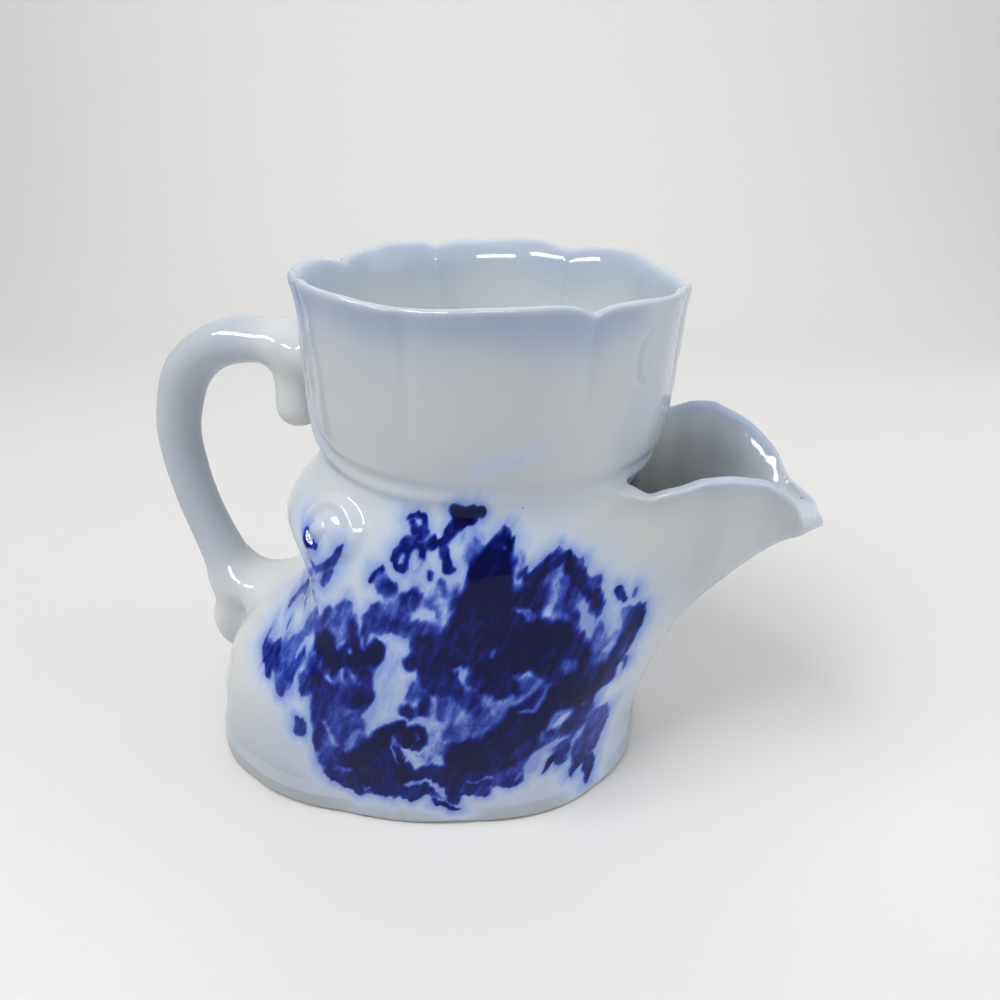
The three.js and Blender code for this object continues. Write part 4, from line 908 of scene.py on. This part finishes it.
class Net:
    """A few short ways to add shader nodes."""

    def __init__(self, name):
        self.mat = bpy.data.materials.new(name)
        self.mat.use_nodes = True
        self.t = self.mat.node_tree
        self.out = self.t.nodes["Principled BSDF"]

    def node(self, kind, **props):
        n = self.t.nodes.new(kind)
        for k, v in props.items():
            setattr(n, k, v)
        return n

    def link(self, a, b):
        self.t.links.new(a, b)

    def feed(self, socket, v):
        if isinstance(v, (int, float)):
            socket.default_value = v
        elif isinstance(v, tuple):
            socket.default_value = v if len(v) == len(socket.default_value) else (*v, 1)
        else:
            self.link(v, socket)

    def attr(self, name):
        return self.node("ShaderNodeAttribute", attribute_name=name).outputs["Fac"]

    def math(self, op, a, b=0.0, c=None, clamp=False):
        n = self.node("ShaderNodeMath", operation=op, use_clamp=clamp)
        self.feed(n.inputs[0], a)
        self.feed(n.inputs[1], b)
        if c is not None:
            self.feed(n.inputs[2], c)
        return n.outputs[0]

    def range(self, v, a, b, c=0.0, d=1.0, smooth=True):
        n = self.node("ShaderNodeMapRange", interpolation_type="SMOOTHSTEP" if smooth else "LINEAR")
        for i, q in zip((0, 1, 2, 3, 4), (v, a, b, c, d)):
            self.feed(n.inputs[i], q)
        return n.outputs[0]

    def mix(self, f, a, b, kind="MIX"):
        n = self.node("ShaderNodeMix", data_type="RGBA", blend_type=kind)
        self.feed(n.inputs[0], f)
        self.feed(n.inputs[6], a)
        self.feed(n.inputs[7], b)
        return n.outputs[2]

    def coords(self, scale=(1, 1, 1), rotation=(0, 0, 0), location=(0, 0, 0), kind="POINT"):
        c = self.node("ShaderNodeTexCoord").outputs["Object"]
        m = self.node("ShaderNodeMapping", vector_type=kind)
        m.inputs["Scale"].default_value = scale
        m.inputs["Rotation"].default_value = rotation
        m.inputs["Location"].default_value = location
        self.link(c, m.inputs["Vector"])
        return m.outputs[0]

    def noise(self, size, detail=2.0, rough=0.5, **where):
        n = self.node("ShaderNodeTexNoise")
        n.inputs["Scale"].default_value = size
        n.inputs["Detail"].default_value = detail
        n.inputs["Roughness"].default_value = rough
        self.link(self.coords(**where), n.inputs["Vector"])
        return n.outputs["Fac"]

    def ramp(self, v, stops):
        n = self.node("ShaderNodeValToRGB")
        el = n.color_ramp.elements
        while len(el) < len(stops):
            el.new(0.5)
        for e, (pos, col) in zip(el, stops):
            e.position = pos
            e.color = (*col, 1)
        self.feed(n.inputs[0], v)
        return n.outputs[0]


STREAK, BLEED = 0.8, 0.5


def glaze(name, printed=False, foot=False):
    k = Net(name)
    b = k.out
    cloud = k.noise(38, 3)
    mottle = k.noise(210, 3, 0.55)
    # clear glaze over a white body, pooling bluish; over the spout the same bluer, darker ramp is painted shade
    wash = k.math("MULTIPLY", k.attr("blue_wash_and_shade"), k.range(cloud, 0.25, 0.75, 0.75, 1.3))
    base = k.ramp(wash, [(0.0, (0.655, 0.665, 0.655)), (0.22, (0.54, 0.575, 0.61)), (0.55, (0.41, 0.47, 0.585)), (1.0, (0.29, 0.365, 0.54))])
    base = k.mix(k.range(mottle, 0.3, 0.75, 0.0, 0.10), base, (0.56, 0.58, 0.60))
    base = k.mix(k.math("MULTIPLY", k.attr("inner"), 0.35), base, (0.62, 0.67, 0.66))
    # dark grey: painted shade in the hollows of spout and reservoir, greyer on the handle limb, darker towards the foot
    base = k.mix(k.math("MULTIPLY", k.attr("painted_shade_and_grey"), 0.85), base, (0.27, 0.285, 0.26))
    if printed:
        streak = k.noise(1.0, 3, 0.55, kind="TEXTURE", scale=(0.0017, 0.0045, 0.0065), rotation=(0, radians(22), 0))
        grain = k.noise(1300, 2, 0.6)
        bleed = k.noise(165, 3, 0.55)
        tone = k.attr("tone")
        w = k.range(tone, 0.05, 0.5)
        e = k.math("MULTIPLY", k.math("SUBTRACT", streak, 0.5), STREAK)
        e = k.math("MULTIPLY_ADD", k.math("SUBTRACT", bleed, 0.5), BLEED, e)
        e = k.math("MULTIPLY_ADD", k.math("SUBTRACT", grain, 0.5), 0.14, e)
        e = k.math("MULTIPLY_ADD", e, w, k.math("MULTIPLY", tone, 0.97))
        reach = k.math("MINIMUM", k.math("MULTIPLY_ADD", k.math("SUBTRACT", bleed, 0.5), 3.0, k.attr("ink")), 0.0)
        halo = k.math("MULTIPLY", k.math("POWER", 2.718, k.math("DIVIDE", reach, 3.0)), 0.34)
        e = k.math("MAXIMUM", e, halo, clamp=True)
        colour = k.ramp(e, [(0.14, (0.50, 0.57, 0.71)), (0.3, (0.27, 0.375, 0.68)), (0.46, (0.09, 0.155, 0.52)), (0.62, (0.026, 0.055, 0.36)), (0.8, (0.007, 0.013, 0.17)), (1.0, (0.003, 0.004, 0.05))])
        base = k.mix(k.range(e, 0.01, 0.15, smooth=False), base, colour)
    # iron specks
    v = k.node("ShaderNodeTexVoronoi")
    v.inputs["Scale"].default_value = 165
    k.link(k.coords(), v.inputs["Vector"])
    sep = k.node("ShaderNodeSeparateColor")
    k.link(v.outputs["Color"], sep.inputs[0])
    pick = k.math("GREATER_THAN", sep.outputs[0], 0.80)
    size = k.math("MULTIPLY_ADD", sep.outputs[1], 0.045, 0.012)
    speck = k.math("MULTIPLY", pick, k.math("LESS_THAN", v.outputs["Distance"], size))
    base = k.mix(k.math("MULTIPLY", speck, 0.55), base, (0.12, 0.12, 0.14))
    rough = 0.3
    if foot:
        pos = k.node("ShaderNodeSeparateXYZ")
        k.link(k.coords(), pos.inputs[0])
        worn = k.math("LESS_THAN", k.math("MULTIPLY_ADD", k.math("SUBTRACT", k.noise(260, 3), 0.5), 0.0011, pos.outputs[2]), 0.00062)
        base = k.mix(worn, base, (0.27, 0.235, 0.20))
        k.feed(b.inputs["Coat Weight"], k.math("SUBTRACT", 1.0, worn))
    else:
        b.inputs["Coat Weight"].default_value = 1.0
    k.feed(b.inputs["Base Color"], base)
    b.inputs["Roughness"].default_value = rough
    b.inputs["Specular IOR Level"].default_value = 0.0
    b.inputs["Coat Roughness"].default_value = 0.03
    b.inputs["Coat IOR"].default_value = 1.25
    # glaze surface: slow waves and pinholes
    wave = k.noise(95, 2, 0.45)
    bump = k.node("ShaderNodeBump")
    bump.inputs["Strength"].default_value = 0.35
    bump.inputs["Distance"].default_value = 0.0006
    k.link(k.math("SUBTRACT", wave, k.math("MULTIPLY", speck, 0.35)), bump.inputs["Height"])
    k.link(bump.outputs[0], b.inputs["Normal"])
    k.link(bump.outputs[0], b.inputs["Coat Normal"])
    return k.mat


GLAZE_BOWL = glaze("glaze_bowl", printed=True)
GLAZE_BODY = glaze("glaze_body", printed=True)
GLAZE_PLAIN = glaze("glaze_plain")
GLAZE_FOOT = glaze("glaze_foot", printed=True, foot=True)

SLOTS = {
    "lather_bowl": ("glazed_bowl", GLAZE_BOWL), "reservoir_body": ("glazed_body", GLAZE_BODY),
    "brush_spout": ("glazed_body", GLAZE_BODY), "base_floor": ("glazed_body", GLAZE_BODY),
    "foot_ring": ("foot_edge", GLAZE_FOOT), "handle": ("glazed_handle", GLAZE_PLAIN),
    "scroll_relief_near": ("glazed_body", GLAZE_BODY), "scroll_relief_far": ("glazed_body", GLAZE_BODY),
}
for num, (pts, nrm, tri) in parts.items():
    node = NAMES[num]
    skin = sample(low, (pts - np.array([X0, Y0, Z0])) / H) > -1.3
    pts, nrm, tri = refine(pts, nrm, tri, printed(pts) & skin & (pts[:, 1] < 0))
    ob = make_mesh("glazed_" + node, pts, nrm, tri, surface_attrs(pts, nrm, node))
    slot, mat = SLOTS[node]
    ob.data.materials.append(mat)
    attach(ob, "root")
    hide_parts(node)
    print(node, len(pts), len(tri))

pts, nrm, tri = drainer()
still = {"ink": -12.0, "tone": 0.0, "blue_wash_and_shade": 0.32, "inner": 1.0, "painted_shade_and_grey": 0.0}
ob = make_mesh("glazed_soap_drainer", pts, nrm, tri, {k: np.full(len(pts), v) for k, v in still.items()})
ob.data.materials.append(GLAZE_BOWL)
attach(ob, "root")
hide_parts("soap_drainer")
print("soap_drainer", len(pts), len(tri))

# ------------------------------------------------------------------ stage, camera, lights


def stage():
    me = bpy.data.meshes.new("backdrop")
    prof = [(-0.6, 0), (0.35, 0)]
    for i in range(1, 13):
        t = (pi / 2) * i / 12
        prof.append((0.35 + 0.25 * np.sin(t), 0.25 * (1 - np.cos(t))))
    prof.append((0.60, 1.2))
    v, f = [], []
    for y, z in prof:
        v += [(-1.6, y, z), (1.6, y, z)]
    for i in range(len(prof) - 1):
        f.append((2 * i, 2 * i + 1, 2 * i + 3, 2 * i + 2))
    me.from_pydata(v, [], f)
    for p in me.polygons:
        p.use_smooth = True
    ob = bpy.data.objects.new("backdrop", me)
    bpy.context.scene.collection.objects.link(ob)
    mat = bpy.data.materials.new("backdrop_paper")
    mat.use_nodes = True
    b = mat.node_tree.nodes["Principled BSDF"]
    b.inputs["Base Color"].default_value = (0.68, 0.675, 0.67, 1)
    b.inputs["Roughness"].default_value = 0.9
    me.materials.append(mat)
    ob.rotation_euler = (0, 0, radians(11))


stage()

cam = bpy.data.cameras.new("camera")
cam.sensor_width = 36
cam.lens = 27.18
cam.clip_start = 0.005
cam_ob = bpy.data.objects.new("camera", cam)
bpy.context.scene.collection.objects.link(cam_ob)
cam_ob.location = ((29.385 + BOWL_AXIS_X) / 1000, -0.15117, 0.1315)
cam_ob.rotation_euler = (radians(90 - 25.6), 0, radians(11))
bpy.context.scene.camera = cam_ob


def area(name, loc, target, size, power, colour=(1, 1, 1), size_y=None):
    from mathutils import Vector

    li = bpy.data.lights.new(name, "AREA")
    li.energy = power
    li.color = colour
    li.size = size
    if size_y:
        li.shape = "RECTANGLE"
        li.size_y = size_y
    ob = bpy.data.objects.new(name, li)
    ob.location = loc
    ob.rotation_euler = (Vector(target) - Vector(loc)).to_track_quat("-Z", "Y").to_euler()
    bpy.context.scene.collection.objects.link(ob)
    return ob


world = bpy.data.worlds.new("studio")
bpy.context.scene.world = world
world.use_nodes = True
world.node_tree.nodes["Background"].inputs["Color"].default_value = (0.93, 0.96, 1.0, 1)
world.node_tree.nodes["Background"].inputs["Strength"].default_value = 0.12
area("backdrop_wash", (0.05, 0.20, 0.50), (0.05, 1.2, 0.28), 1.3, 1.15, (1, 1, 1), 0.2)
area("softbox_top", (0.05, 0.10, 0.95), (0, 0.0, 0.0), 0.8, 2.35)
area("softbox_key", (-0.28, -0.27, 0.70), (0, 0, 0.03), 0.42, 4.1, (1.0, 0.995, 0.985)).visible_glossy = False
area("fill_right", (0.55, 0.05, 0.30), (0, 0, 0.04), 0.45, 1.6)
area("fill_front", (0.156, -0.65, 0.457), (0.01, 0, 0.105), 0.32, 1.1, (1, 1, 1), 0.032).visible_glossy = False
# panes that only show as reflections in the glaze
area("pane_front", (0.13, -0.60, 0.50), (0.01, 0, 0.105), 0.42, 9.5, (1, 1, 1), 0.11).visible_diffuse = False
area("pane_left", (-0.446, -0.375, 0.562), (0, 0, 0.09), 0.52, 11.8, (1, 1, 1), 0.12).visible_diffuse = False

bpy.context.scene.view_settings.view_transform = "Standard"
